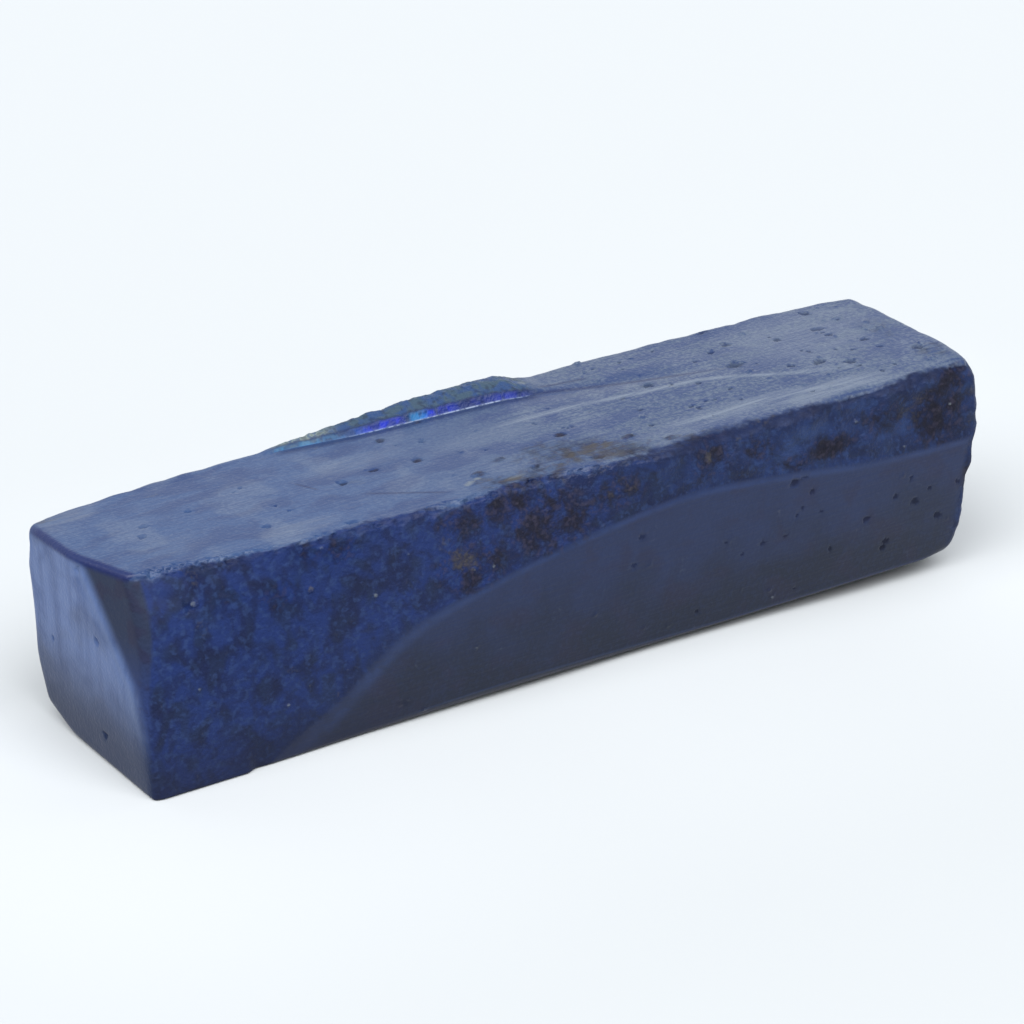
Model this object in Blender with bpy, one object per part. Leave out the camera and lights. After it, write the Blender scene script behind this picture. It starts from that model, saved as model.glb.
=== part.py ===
"""A rough sapphire: one bar of opaque blue corundum, sawn from its crystal and partly ground flat.

It is a single piece of stone, so it is a single object. The bar lies on its ground base. Its front
has two surfaces: a ground flat below and, above it, the crystal's own skin, which leans back towards
the top. The left end is ground nearly square, apart from a facet of skin that cuts its front corner.
The top is ground too, but the wheel stopped short of the back edge and left a ledge standing there.
The back is sawn flat below and broken above, and the right end is a rough break.

The stone is shaped in millimetres: a finely sliced box gets its edges rounded, each of its six sides
is then moved to its real place, and the rough ones get their lumps and pits. The last step scales it
to metres. +X runs along the bar to its broken end, +Y to the back and +Z up, and the origin lies on
the base under the middle of the stone.
"""

import math

import bmesh
import bpy
from mathutils import Vector, noise

# Driving dimensions of the bar, before its sides are moved to their real places
LENGTH = 90.0
WIDTH = 20.0
HEIGHT = 19.5
HALF = Vector((LENGTH, WIDTH, HEIGHT)) / 2
TOP_RISE = 0.012  # the top climbs this much for each millimetre along the bar
MILLIMETRE = 0.001

# How finely each side is sliced. The slices crowd towards the edges, where the bar is rounded.
SLICES_X = 68
SLICES_Y = 16
SLICES_Z = 15
EDGE_CROWDING = 0.45
ROW_CLEARANCE = 0.5  # a slice this close to one of the rows below gives way to it

# Edge radii: four long edges, and the uprights and corners that are worn or broken further. A worn
# place is given in half boxes from the middle, with its extra radius and how far it reaches.
LONG_EDGE_RADIUS = {"front_base": 0.3, "back_base": 0.9, "front_top": 0.35, "back_top": 0.6}
WORN_PLACES = (
    ((-1, 1, 0.2), 0.6, 11.0),
    ((-1, 1, -1), 2.7, 7.0),
    ((-1, 1, 1), 0.2, 4.0),
    ((1, -1, -1), 1.2, 5.0),
    ((1, -1, 0), 0.2, 9.0),
    ((1, 1, 1), 0.4, 5.0),
    ((1, 1, -1), 1.6, 8.0),
)
CHIP_RADIUS = 0.7  # the deepest chips along the front top edge add this to its radius
CHIP_SPACING = 4.5

# Plan of the top face: y of its front and back edges at stations along the bar
FRONT_TOP_EDGE = ((-45, -3.6), (-42, -4.6), (-37, -5.7), (-31, -6.7), (-25, -7.6), (-12, -8.2),
                  (-3, -8.2), (5, -9.0), (11, -9.4), (17, -8.8), (28, -9.1), (38, -9.2), (46, -9.0))
BACK_TOP_EDGE = ((-46, 9.2), (-43, 10.0), (-37, 10.5), (-24, 11.0), (-8, 11.1), (11, 11.7),
                 (20, 11.4), (28, 11.0), (36, 10.9), (46, 9.7))

# The front: a ground flat up to the skin line, whose height is given at stations along the bar
FRONT_Y = -10.05
SKIN_LINE = ((-46, -1.0), (-32, -0.6), (-28.5, 1.2), (-25, 3.9), (-21.5, 7.3), (-17.5, 9.8), (-9, 11.8),
             (1, 13.6), (12, 14.8), (24, 13.8), (33, 12.7), (46, 12.2))
SKIN_STEP = 0.12  # the skin starts this far behind the ground flat
SKIN_ROW = 12.2  # height of the row of slices that is drawn onto the skin line
FOOT_SWELL = 0.45  # the front foot stands proud by this much near the left end
FOOT_SWELL_FROM = -43.0
FOOT_SWELL_TO = -34.6

# The back: sawn flat up to a wavy line, and broken above it
BACK_Y = 10.0
BACK_LINE = ((-46, 15.5), (-32, 14.5), (-22, 9.0), (-8, 6.5), (6, 8.5), (16, 13.5), (30, 12.0), (46, 9.0))

# The ledge along the back of the top: y of its foot, and its height, at stations along the bar
LEDGE_FOOT = ((-20, 10.0), (-13, 9.2), (-3, 8.8), (4.5, 8.0), (9, 8.0))
LEDGE_HEIGHT = ((-22, 0.0), (-18.5, 0.6), (-12, 0.9), (-7, 1.15), (-3, 1.25), (3.5, 1.2), (6.0, 0.4),
                (8.0, 0.0))
LEDGE_STEP = 0.45  # width of the ledge's steep inner wall
LEDGE_WALL_SHARE = 0.62  # share of its height that the wall takes
LEDGE_ROW = 7.9  # place, across the box, of the row of slices that is drawn onto the ledge's foot

# Low forms of the top: a groove that runs on from the ledge, and the crest of a soft front slope
GROOVE_LINE = ((4, 8.0), (8.5, 6.5), (12.3, 5.8), (18, 4.7), (26, 2.9))
GROOVE_DEPTH = 0.22
GROOVE_WIDTH = 1.1
CREST_LINE = ((-6, 4.0), (0.4, 3.5), (11.4, 2.7), (19.3, 1.3), (24, 0.5), (29.4, -1.3), (34, -3.5), (46, -7.0))
FRONT_SLOPE = 0.045  # how far the top drops for each millimetre in front of the crest

# The left end: ground nearly square, then cut by a facet of skin through these three points
LEFT_END_X = -44.2
LEFT_END_SKEW = 0.062
LEFT_END_TWIST = 0.0012
FACET = (Vector((-44.83, -1.2, 17.9)), Vector((-44.28, -8.6, 9.5)), Vector((-42.3, -5.0, 18.8)))
FACET_BLEND = 0.12

# The right end: broken askew, and undercut towards the base
RIGHT_END_X = 46.7
RIGHT_END_SKEW = 0.066
UNDERCUT = ((0, 2.6), (4, 1.9), (8, 1.1), (12, 0.4), (15.5, 0.0), (20, 0.1))  # by height

# Roughness of the skin and of the broken sides: the height and the spacing of its lumps
COARSE_LUMPS = (0.34, 7.0)
FINE_LUMPS = (0.18, 2.9)
CRUST_LUMPS = (0.30, 4.6)  # blunt lumps with creases between them
CRUST_MEAN = 0.6  # brings the crust's lumps back to a mean height of nothing
GROUND_WAVES = (0.05, 11.0)  # the ground faces are not quite flat either

# The larger pits: (along the bar, across or up the side, width, depth)
TOP_PITS = ((25.7, 2.5, 1.1, 0.30), (37.4, 4.9, 0.9, 0.25), (38.8, 8.2, 0.8, 0.2), (32.9, -1.5, 0.9, 0.25),
            (35.4, -3.1, 0.8, 0.2), (27.8, 6.8, 0.7, 0.2), (16.0, 3.1, 0.7, 0.2), (42.8, -3.9, 0.8, 0.25),
            (-18.6, 1.0, 0.8, 0.25), (-10.6, 1.3, 0.7, 0.2), (-11.3, 6.8, 0.7, 0.2))
FRONT_PITS = ((24.0, 12.6, 1.0, 0.30), (26.0, 11.3, 0.7, 0.2), (32.5, 6.6, 0.8, 0.25), (35.1, 3.4, 1.1, 0.35),
              (41.6, 4.7, 0.9, 0.3), (38.6, 7.0, 0.8, 0.25), (28.4, 4.6, 0.8, 0.2), (20.5, 7.7, 0.7, 0.2))
END_PITS = ((-5.0, 12.0, 1.3, 0.4), (2.5, 8.0, 1.6, 0.5), (6.0, 14.5, 1.2, 0.4), (-1.5, 4.0, 1.1, 0.35))


def smooth(low, high, value):
    """0 below low, 1 above high, and an even curve between them."""
    share = min(1.0, max(0.0, (value - low) / (high - low)))
    return share * share * (3 - 2 * share)


def mix(a, b, share):
    return a + (b - a) * share


def slope_at(profile, i):
    """Slope at one point of a profile, from the points on each side of it."""
    before = profile[max(0, i - 1)]
    after = profile[min(len(profile) - 1, i + 1)]
    return (after[1] - before[1]) / (after[0] - before[0])


def along(profile, x):
    """The value at x of a smooth curve through the (x, value) points of a profile."""
    if x <= profile[0][0]:
        return profile[0][1]
    if x >= profile[-1][0]:
        return profile[-1][1]
    i = next(i for i, point in enumerate(profile) if point[0] > x)
    (x0, v0), (x1, v1) = profile[i - 1], profile[i]
    run = x1 - x0
    t = (x - x0) / run
    curve = v0 * (1 + 2 * t) * (1 - t) ** 2 + v1 * t * t * (3 - 2 * t)
    return curve + run * t * (1 - t) * (slope_at(profile, i - 1) * (1 - t) - slope_at(profile, i) * t)


def lumps(point, spacing, seed):
    """Smooth noise from about -1 to 1, with lumps about one spacing apart."""
    return noise.noise(point / spacing + Vector((seed, 2.3 * seed, -seed)))


def slice_places(half, count, rows):
    """Cutting places across one side: crowded towards both edges, with the given rows among them."""
    places = list(rows)
    for i in range(1, count):
        share = 2 * i / count - 1
        place = half * mix(share, math.sin(share * math.pi / 2), EDGE_CROWDING)
        if all(abs(place - row) > ROW_CLEARANCE for row in rows):
            places.append(place)
    return places


def sliced_box():
    """A box of the nominal size round the origin, with its sides sliced into a grid."""
    box = bmesh.new()
    bmesh.ops.create_cube(box, size=1.0)
    bmesh.ops.scale(box, vec=(LENGTH, WIDTH, HEIGHT), verts=box.verts)
    rows = ((), (LEDGE_ROW, LEDGE_ROW + LEDGE_STEP), (SKIN_ROW - HALF.z,))
    for axis, count in enumerate((SLICES_X, SLICES_Y, SLICES_Z)):
        normal = Vector((0, 0, 0))
        normal[axis] = 1.0
        for place in slice_places(HALF[axis], count, rows[axis]):
            everything = box.verts[:] + box.edges[:] + box.faces[:]
            bmesh.ops.bisect_plane(box, geom=everything, plane_co=normal * place, plane_no=normal)
    return box


def edge_radius(point):
    """Radius of the rounding near a point of the nominal box."""
    back = point.y / WIDTH + 0.5
    up = point.z / HEIGHT + 0.5
    chips = CHIP_RADIUS * max(0.0, lumps(Vector((point.x, 0, 0)), CHIP_SPACING, 5))
    base = mix(LONG_EDGE_RADIUS["front_base"], LONG_EDGE_RADIUS["back_base"], back)
    top = mix(LONG_EDGE_RADIUS["front_top"] + chips, LONG_EDGE_RADIUS["back_top"], back)
    radius = mix(base, top, up)
    for place, extra, reach in WORN_PLACES:
        distance = (point - Vector(place) * HALF).length
        radius += extra * (1 - smooth(0.0, reach, distance))
    return radius


def rounded(point):
    """A point of the nominal box, moved onto the box with rounded edges."""
    radius = edge_radius(point)
    inner = Vector(max(radius - h, min(h - radius, c)) for c, h in zip(point, HALF))
    outward = point - inner
    return inner + outward.normalized() * radius if outward.length > 1e-9 else point.copy()


def left_end(y, z):
    """x of the left end: ground nearly square, then cut by the skin facet at its front corner."""
    ground = LEFT_END_X - (y + 10) * (LEFT_END_SKEW + LEFT_END_TWIST * z)
    normal = (FACET[1] - FACET[0]).cross(FACET[2] - FACET[0])
    facet = FACET[0].x - (normal.y * (y - FACET[0].y) + normal.z * (z - FACET[0].z)) / normal.x
    gap = (facet - ground) / FACET_BLEND
    return facet if gap > 20 else ground + FACET_BLEND * math.log1p(math.exp(gap))


def right_end(y, z):
    """x of the right end: broken askew, and undercut towards the base, more so at the front."""
    undercut = along(UNDERCUT, z) * mix(1.0, 0.5, smooth(-10, 10, y))
    return RIGHT_END_X - RIGHT_END_SKEW * (y + 10) - undercut


def skin_share(x, z):
    """How far up the skin a point of the front lies, from 0 on the skin line to 1 at the top edge."""
    line = along(SKIN_LINE, x)
    return min(1.0, max(0.0, (z - line) / (HEIGHT + TOP_RISE * x - line)))


def front_face(x, z):
    """y of the front: a ground flat, above which the skin leans back to the top edge."""
    swell = smooth(FOOT_SWELL_FROM - 2, FOOT_SWELL_FROM, x) - smooth(FOOT_SWELL_TO - 0.6, FOOT_SWELL_TO + 0.6, x)
    flat = FRONT_Y - FOOT_SWELL * swell * (1 - smooth(0.0, 3.5, z))
    share = skin_share(x, z)
    roundness = mix(2.5, 1.2, smooth(-36, -20, x))
    start = flat + SKIN_STEP * smooth(0.0, 0.05, share)
    return mix(start, along(FRONT_TOP_EDGE, x), share ** roundness)


def back_share(x, z):
    """How far up the broken part of the back a point lies, from 0 on its line to 1 at the top."""
    line = along(BACK_LINE, x)
    return smooth(line - 0.5, line + 2.5, z)


def back_face(x, z):
    """y of the back: sawn flat below, and broken above, out to the top edge."""
    return mix(BACK_Y, along(BACK_TOP_EDGE, x), back_share(x, z))


def ledge(x, y):
    """Height of the ledge that the wheel left along the back of the top."""
    beyond = y - along(LEDGE_FOOT, x)
    wall = smooth(0.0, LEDGE_STEP, beyond) * LEDGE_WALL_SHARE
    slope = smooth(LEDGE_STEP * 0.6, 2.2, beyond) * (1 - LEDGE_WALL_SHARE)
    return along(LEDGE_HEIGHT, x) * (wall + slope)


def top_face(x, y):
    """z of the top: nearly flat, with a groove, a soft front slope, and the ledge at its back."""
    flat = HEIGHT + TOP_RISE * x
    off_groove = (y - along(GROOVE_LINE, x)) / GROOVE_WIDTH
    groove = GROOVE_DEPTH * math.exp(-off_groove * off_groove) * smooth(2, 6, x) * (1 - smooth(16, 26, x))
    before_crest = max(0.0, along(CREST_LINE, x) - y)
    slope = FRONT_SLOPE * before_crest * smooth(-6, 14, x)
    return flat - groove - slope + ledge(x, y)


def drawn_to_ledge(x, y):
    """y on the top, with the ledge's two rows of slices drawn onto the foot and top of its wall."""
    present = smooth(-24, -20, x) * (1 - smooth(8, 12, x))
    front, back = along(FRONT_TOP_EDGE, x), along(BACK_TOP_EDGE, x)
    row = mix(front, back, LEDGE_ROW / WIDTH + 0.5)
    nearness = smooth(row - 4.0, row, y) * (1 - smooth(row + LEDGE_STEP, back, y))
    return y + (along(LEDGE_FOOT, x) - row) * nearness * present


def drawn_to_skin_line(x, z):
    """z on the front, with one row of slices drawn onto the skin line where that runs level."""
    present = smooth(-20, -15, x)
    nearness = smooth(0.0, SKIN_ROW, z) if z < SKIN_ROW else 1 - smooth(SKIN_ROW, HEIGHT, z)
    return z + (along(SKIN_LINE, x) - SKIN_ROW) * nearness * present


def shaped(point):
    """A point of the rounded box, moved onto the real stone. z starts at the base."""
    x, y, z = point.x, point.y, point.z + HALF.z
    z = mix(z, drawn_to_skin_line(x, z), 1 - smooth(-HALF.y, -HALF.y + 4.0, y))
    across = y / WIDTH + 0.5
    y = mix(front_face(x, z), back_face(x, z), across)
    x += (1 - smooth(-HALF.x, -30, x)) * (left_end(y, z) + HALF.x)
    x += smooth(30, HALF.x, x) * (right_end(y, z) - HALF.x)
    y = mix(front_face(x, z), back_face(x, z), across)
    y = mix(y, drawn_to_ledge(x, y), smooth(HEIGHT - 3.0, HEIGHT - 0.3, z))
    z *= mix(1.0, top_face(x, y) / HEIGHT, smooth(0.0, HEIGHT, z))
    return Vector((x, y, z))


def outward_of(box_point):
    """Which way is out of the box at a point of its surface."""
    shares = Vector(math.copysign(abs(c / h) ** 40, c) for c, h in zip(box_point, HALF))
    return shares.normalized()


def roughness(point, box_point):
    """How rough the stone is at a point: 1 on skin and broken sides, 0 on ground ones."""
    front = 1 - smooth(0.0, 1.5, box_point.y + HALF.y)
    back = smooth(-2.0, 0.0, box_point.y - HALF.y)
    right = smooth(-2.0, 0.0, box_point.x - HALF.x)
    top = smooth(-1.0, 0.0, box_point.z - HALF.z)
    on_ledge = top * smooth(0.3, 0.9, ledge(point.x, point.y)) * 0.4
    on_skin = front * smooth(0.0, 0.2, skin_share(point.x, point.z))
    on_back = back * back_share(point.x, point.z) * (1 - 0.7 * top)
    return max(on_skin, on_back, right * (1 - 0.6 * top), on_ledge)


def relief(point, box_point):
    """How far the stone's lumps and waves move a point outwards."""
    coarse = COARSE_LUMPS[0] * lumps(point, COARSE_LUMPS[1], 1)
    fine = FINE_LUMPS[0] * lumps(point, FINE_LUMPS[1], 2)
    cells = noise.noise(point / CRUST_LUMPS[1], noise_basis="VORONOI_F2F1")
    crust = CRUST_LUMPS[0] * (cells + CRUST_MEAN)
    waves = GROUND_WAVES[0] * lumps(point, GROUND_WAVES[1], 3)
    return roughness(point, box_point) * (coarse + fine + crust) + waves


def sink_pit(bar, place, normal, width, depth):
    """Sinks a four-sided pit at the mesh point nearest to a place on the side that faces along normal."""
    facing = [vert for vert in bar.verts if vert.normal.dot(normal) > 0.85]
    middle = min(facing, key=lambda vert: (vert.co - place).length)
    room = min(edge.calc_length() for edge in middle.link_edges)
    rim = bmesh.ops.bevel(
        bar,
        geom=[middle],
        affect="VERTICES",
        offset=min(width / 2, 0.8 * room),
        segments=1,
        profile=0.5,
        material=-1,
    )
    bmesh.ops.poke(bar, faces=rim["faces"], offset=-depth)
    bar.normal_update()


def sink_pits(bar):
    """The larger pits of the top, of the ground front and of the broken end."""
    for x, y, width, depth in TOP_PITS:
        sink_pit(bar, Vector((x, y, HEIGHT)), Vector((0, 0, 1)), width, depth)
    for x, z, width, depth in FRONT_PITS:
        sink_pit(bar, Vector((x, FRONT_Y, z)), Vector((0, -1, 0)), width, depth)
    for y, z, width, depth in END_PITS:
        sink_pit(bar, Vector((RIGHT_END_X, y, z)), Vector((1, 0, 0)), width, depth)


def shape_stone():
    """The whole stone as one closed mesh, in millimetres, standing on z = 0."""
    bar = sliced_box()
    for vert in bar.verts:
        box_point = vert.co.copy()
        vert.co = shaped(rounded(box_point))
        if box_point.z > -HALF.z + 0.01:
            above_base = smooth(0.0, 2.5, vert.co.z)
            vert.co += outward_of(box_point) * relief(vert.co, box_point) * above_base
    bmesh.ops.recalc_face_normals(bar, faces=bar.faces)
    bar.normal_update()
    sink_pits(bar)
    return bar


def settle(bar):
    """Puts the middle of the stone's box over the origin and turns its millimetres into metres."""
    lowest = Vector(min(v.co[i] for v in bar.verts) for i in range(3))
    highest = Vector(max(v.co[i] for v in bar.verts) for i in range(3))
    middle = (lowest + highest) / 2
    bmesh.ops.translate(bar, vec=(-middle.x, -middle.y, -lowest.z), verts=bar.verts)
    bmesh.ops.scale(bar, vec=(MILLIMETRE, MILLIMETRE, MILLIMETRE), verts=bar.verts)


def sapphire_material():
    """Dark blue corundum, dull where the wheel left it and glossier on its skin."""
    material = bpy.data.materials.new("sapphire")
    material.use_nodes = True
    shader = material.node_tree.nodes["Principled BSDF"]
    shader.inputs["Base Color"].default_value = (0.012, 0.022, 0.085, 1.0)
    shader.inputs["Roughness"].default_value = 0.38
    shader.inputs["Metallic"].default_value = 0.0
    shader.inputs["IOR"].default_value = 1.77
    return material


def main():
    for old in list(bpy.data.objects):
        bpy.data.objects.remove(old, do_unlink=True)
    bar = shape_stone()
    settle(bar)
    mesh = bpy.data.meshes.new("sapphire_bar")
    bar.to_mesh(mesh)
    bar.free()
    mesh.shade_smooth()
    mesh.set_sharp_from_angle(angle=math.radians(35))
    mesh.materials.append(sapphire_material())
    stone = bpy.data.objects.new("sapphire_bar", mesh)
    bpy.context.scene.collection.objects.link(stone)


main()
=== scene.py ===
# %% [markdown]
# # A rough sapphire
# The object is one bar of opaque blue corundum, about 92 mm long. Its top, left end, base and the lower
# part of its front were ground flat. The rest of the front is the crystal's own skin, and a narrow
# ledge was left standing along the back of the top, where the stone is thin enough to glow.
#
# The lesson builds the bar once, as one fine mesh, and gives it one finish that changes from place
# to place. First it loads the plain solid that the fine mesh will stand for.

# %% Load the solid
import math
import random

import bmesh
import bpy
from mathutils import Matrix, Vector, kdtree, noise


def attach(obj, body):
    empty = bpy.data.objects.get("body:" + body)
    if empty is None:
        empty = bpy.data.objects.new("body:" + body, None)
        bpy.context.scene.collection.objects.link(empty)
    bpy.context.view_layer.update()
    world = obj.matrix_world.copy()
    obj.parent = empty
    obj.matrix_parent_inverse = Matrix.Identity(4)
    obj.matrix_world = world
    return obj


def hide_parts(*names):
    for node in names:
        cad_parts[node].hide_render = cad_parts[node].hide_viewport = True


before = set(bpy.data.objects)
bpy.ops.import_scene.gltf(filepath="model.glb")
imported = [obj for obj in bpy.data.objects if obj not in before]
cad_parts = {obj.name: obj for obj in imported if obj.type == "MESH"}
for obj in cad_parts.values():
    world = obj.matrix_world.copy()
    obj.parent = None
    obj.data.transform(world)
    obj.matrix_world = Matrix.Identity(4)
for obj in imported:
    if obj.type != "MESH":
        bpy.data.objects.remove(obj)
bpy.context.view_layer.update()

NODE = "sapphire_bar"
MM = 0.001

# %% [markdown]
# ## Camera
# The stone is shaped in its own millimetre frame, in which the nominal bar is centred. The middle of
# the finished stone's box lies a little off that centre, so everything is moved by `MIDDLE` at the
# end. The camera has a long lens, stands in front and to the left, and looks down on the stone.

# %% Camera
MIDDLE = Vector((0.506, 0.884, 0.0))
CAMERA_PLACE = Vector((-153.907, -239.143, 151.915))
CAMERA_DOWN = 26.217
CAMERA_HEADING = 32.557
LENS_LENGTH, SENSOR_WIDTH = 120.0, 36.0


def in_scene(name, data):
    """A new object with this data, placed in the scene."""
    new = bpy.data.objects.new(name, data)
    bpy.context.scene.collection.objects.link(new)
    return new


def make_camera():
    data = bpy.data.cameras.new("camera")
    data.lens = LENS_LENGTH
    data.sensor_width = SENSOR_WIDTH
    data.clip_start = 0.01
    camera = in_scene("camera", data)
    camera.location = (CAMERA_PLACE - MIDDLE) * MM
    camera.rotation_euler = (math.radians(90 - CAMERA_DOWN), 0, math.radians(-CAMERA_HEADING))
    bpy.context.scene.camera = camera
    return camera


print("camera at", [round(c, 4) for c in make_camera().location])

# %% [markdown]
# ## Curves and noise
# Four small tools do all the shaping. `smooth` fades one thing into another, `between` keeps a thing
# to one stretch, `along` reads a value off a smooth curve through a few (place, value) points, and
# `lumps` gives smooth noise at a chosen spacing. Such a curve is easier to correct than a sculpted mesh.

# %% Curves and noise
def smooth(low, high, value):
    share = min(1.0, max(0.0, (value - low) / (high - low)))
    return share * share * (3 - 2 * share)


def between(from_none, from_full, to_full, to_none, value):
    """1 on one stretch of a value, fading out at both its ends."""
    return smooth(from_none, from_full, value) * (1 - smooth(to_full, to_none, value))


def mix(a, b, share):
    return a + (b - a) * share


def slope_at(profile, i):
    before = profile[max(0, i - 1)]
    after = profile[min(len(profile) - 1, i + 1)]
    return (after[1] - before[1]) / (after[0] - before[0])


def along(profile, x):
    if x <= profile[0][0]:
        return profile[0][1]
    if x >= profile[-1][0]:
        return profile[-1][1]
    i = next(i for i, point in enumerate(profile) if point[0] > x)
    (x0, v0), (x1, v1) = profile[i - 1], profile[i]
    run = x1 - x0
    t = (x - x0) / run
    curve = v0 * (1 + 2 * t) * (1 - t) ** 2 + v1 * t * t * (3 - 2 * t)
    return curve + run * t * (1 - t) * (slope_at(profile, i - 1) * (1 - t) - slope_at(profile, i) * t)


def lumps(point, spacing, seed):
    return noise.noise(point / spacing + Vector((seed, 2.3 * seed, -seed)))


print("half way along a fade:", smooth(0, 1, 0.5))

# %% [markdown]
# ## A finely sliced box
# A stone has no edge loops to follow, but a sawn bar does have six sides. So the mesh starts as a
# cube whose twelve edges are subdivided into a grid, about a third of a millimetre apart. The
# slices are then spread so that they crowd towards the edges, where chips and rounding need them,
# and rows are put at the foot and the rim of the ledge and where the skin starts. Every point keeps
# its place on this box as `start`, so that the shape can be worked out again after a subdivision.

# %% Sliced box
LENGTH, WIDTH, HEIGHT = 90.0, 20.0, 19.5
HALF = Vector((LENGTH, WIDTH, HEIGHT)) / 2
SLICES = (280, 56, 52)
EDGE_CROWDING = 0.45
LEDGE_ROW = 7.9
LEDGE_STEP = 0.45
SKIN_ROW = 12.2
ROWS = ((), (LEDGE_ROW, LEDGE_ROW + LEDGE_STEP), (SKIN_ROW - HALF.z,))


def slice_places(half, count, rows):
    places = []
    for i in range(count + 1):
        share = 2 * i / count - 1
        places.append(half * mix(share, math.sin(share * math.pi / 2), EDGE_CROWDING))
    for row in rows:
        nearest = min(range(count + 1), key=lambda i: abs(places[i] - row))
        places[nearest] = row
    return places


def sliced_box():
    box = bmesh.new()
    bmesh.ops.create_cube(box, size=1.0)
    for axis, count in enumerate(SLICES):
        edges = [e for e in box.edges if abs(e.verts[0].co[axis] - e.verts[1].co[axis]) > 0.9]
        bmesh.ops.subdivide_edges(box, edges=edges, cuts=count - 1, use_grid_fill=True)
    places = [slice_places(HALF[a], SLICES[a], ROWS[a]) for a in range(3)]
    start = box.verts.layers.float_vector.new("start")
    for vert in box.verts:
        vert.co = Vector(places[a][round((vert.co[a] + 0.5) * SLICES[a])] for a in range(3))
        vert[start] = vert.co
    return box


bar = sliced_box()
print("sliced box:", len(bar.verts), "points,", len(bar.faces), "faces")

# %% Finer strips
LEDGE_STRIP = ((-21.0, 7.5, 9.7), (9.5, 9.7, 9.8))
EDGE_STRIPS = (((-45.0, -10.0, 9.7), (45.0, -9.1, 9.8)), ((-45.0, -10.1, 8.9), (45.0, -9.9, 9.75)))


def faces_between(low, high):
    def inside(place):
        return all(a <= c <= b for a, c, b in zip(low, place, high))

    return [face for face in bar.faces if inside(face.calc_center_median())]


def refine(faces, cuts):
    edges = {edge for face in faces for edge in face.edges}
    bmesh.ops.subdivide_edges(bar, edges=list(edges), cuts=cuts, use_grid_fill=True)


refine(faces_between(*LEDGE_STRIP), 2)
refine(faces_between(*EDGE_STRIPS[0]) + faces_between(*EDGE_STRIPS[1]), 1)
print("with finer strips along the ledge and the front edge:", len(bar.faces), "faces")

# %% [markdown]
# ## Rounded edges
# The wheel left the edges of the ground sides crisp, and handling rounded others. A box with
# rounded edges is a smaller box plus a fixed distance all round, so each point is pulled onto the
# smaller box and pushed back out by the radius. The radius itself changes from edge to edge, grows
# at worn corners and jumps up where the front edge is chipped.

# %% Rounded edges
LONG_EDGE_RADIUS = {"front_base": 0.3, "back_base": 0.9, "front_top": 0.3, "back_top": 0.6}
WORN_EDGE = (0.7, 4.0, 20.0)  # extra radius of the front top edge towards the right, from and to
WORN_PLACES = (
    ((-1, 1, 0.2), 0.6, 11.0),
    ((-1, 1, -1), 2.7, 7.0),
    ((-1, 1, 1), 0.2, 4.0),
    ((1, -1, -1), 1.2, 5.0),
    ((1, -1, 0), 0.2, 9.0),
    ((1, -1, 1), 1.0, 6.0),
    ((1, 1, 1), 0.4, 5.0),
    ((1, 1, -1), 1.6, 8.0),
)
CHIP_RADIUS = 0.35
CHIP_SPACING = 2.2


def edge_radius(point):
    back = point.y / WIDTH + 0.5
    up = point.z / HEIGHT + 0.5
    chips = CHIP_RADIUS * max(0.0, lumps(Vector((point.x, 0, 0)), CHIP_SPACING, 5))
    worn = WORN_EDGE[0] * smooth(WORN_EDGE[1], WORN_EDGE[2], point.x)
    base = mix(LONG_EDGE_RADIUS["front_base"], LONG_EDGE_RADIUS["back_base"], back)
    top = mix(LONG_EDGE_RADIUS["front_top"] + chips + worn, LONG_EDGE_RADIUS["back_top"], back)
    radius = mix(base, top, up)
    for place, extra, reach in WORN_PLACES:
        distance = (point - Vector(place) * HALF).length
        radius += extra * (1 - smooth(0.0, reach, distance))
    return radius


def rounded(point):
    radius = edge_radius(point)
    inner = Vector(max(radius - h, min(h - radius, c)) for c, h in zip(point, HALF))
    outward = point - inner
    return inner + outward.normalized() * radius if outward.length > 1e-9 else point.copy()


print("radius at the worn corner, mm:", round(edge_radius(Vector((-45, 10, -9.75))), 2))

# %% [markdown]
# ## The six sides
# Each side of the box is now moved to where the real side is. The front leans back above the skin
# line, the left end is ground askew and cut by a facet of skin, the right end is broken and undercut,
# the back is sawn below and broken above, and the top carries a groove, a soft front slope and the
# ledge. These are the forms of the plain solid, from nearly the same values, with a fine bevel along
# the base of the front added.

# %% Plan and profiles of the sides
TOP_RISE = 0.012
FRONT_TOP_EDGE = ((-45, -3.6), (-42, -4.6), (-37, -5.7), (-31, -6.7), (-25, -7.6), (-12, -8.2),
                  (-3, -8.2), (5, -9.0), (11, -9.4), (17, -8.8), (28, -9.1), (38, -9.2), (46, -9.0))
BACK_TOP_EDGE = ((-46, 9.2), (-43, 10.0), (-37, 10.5), (-24, 11.0), (-8, 11.1), (11, 11.7),
                 (20, 11.4), (28, 11.0), (36, 10.9), (46, 9.7))
FRONT_Y = -10.05
SKIN_LINE = ((-46, -1.0), (-34, -0.4), (-30.5, 1.6), (-25, 4.7), (-21.5, 7.4), (-17.5, 9.6), (-9, 11.7),
             (1, 13.6), (12, 14.8), (24, 13.8), (33, 12.7), (46, 12.2))
SKIN_STEP = 0.12
FOOT_SWELL = 0.45
FOOT_SWELL_FROM = (-45.0, -43.0)
FOOT_SWELL_TO = (-35.2, -34.0)
FOOT_SWELL_HEIGHT = 3.5
SKIN_ROUNDNESS = (2.5, 1.2)  # how late the skin leans back, at the left and further right
BASE_BEVEL = ((-34, 0.0), (-24, 0.5), (-9, 0.85), (6, 0.6), (18, 0.35), (40, 0.3), (46, 0.3))
BEVEL_SLOPE = 0.45
BACK_Y = 10.0
BACK_LINE = ((-46, 15.5), (-32, 14.5), (-22, 9.0), (-8, 6.5), (6, 8.5), (16, 13.5), (30, 12.0), (46, 9.0))
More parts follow.
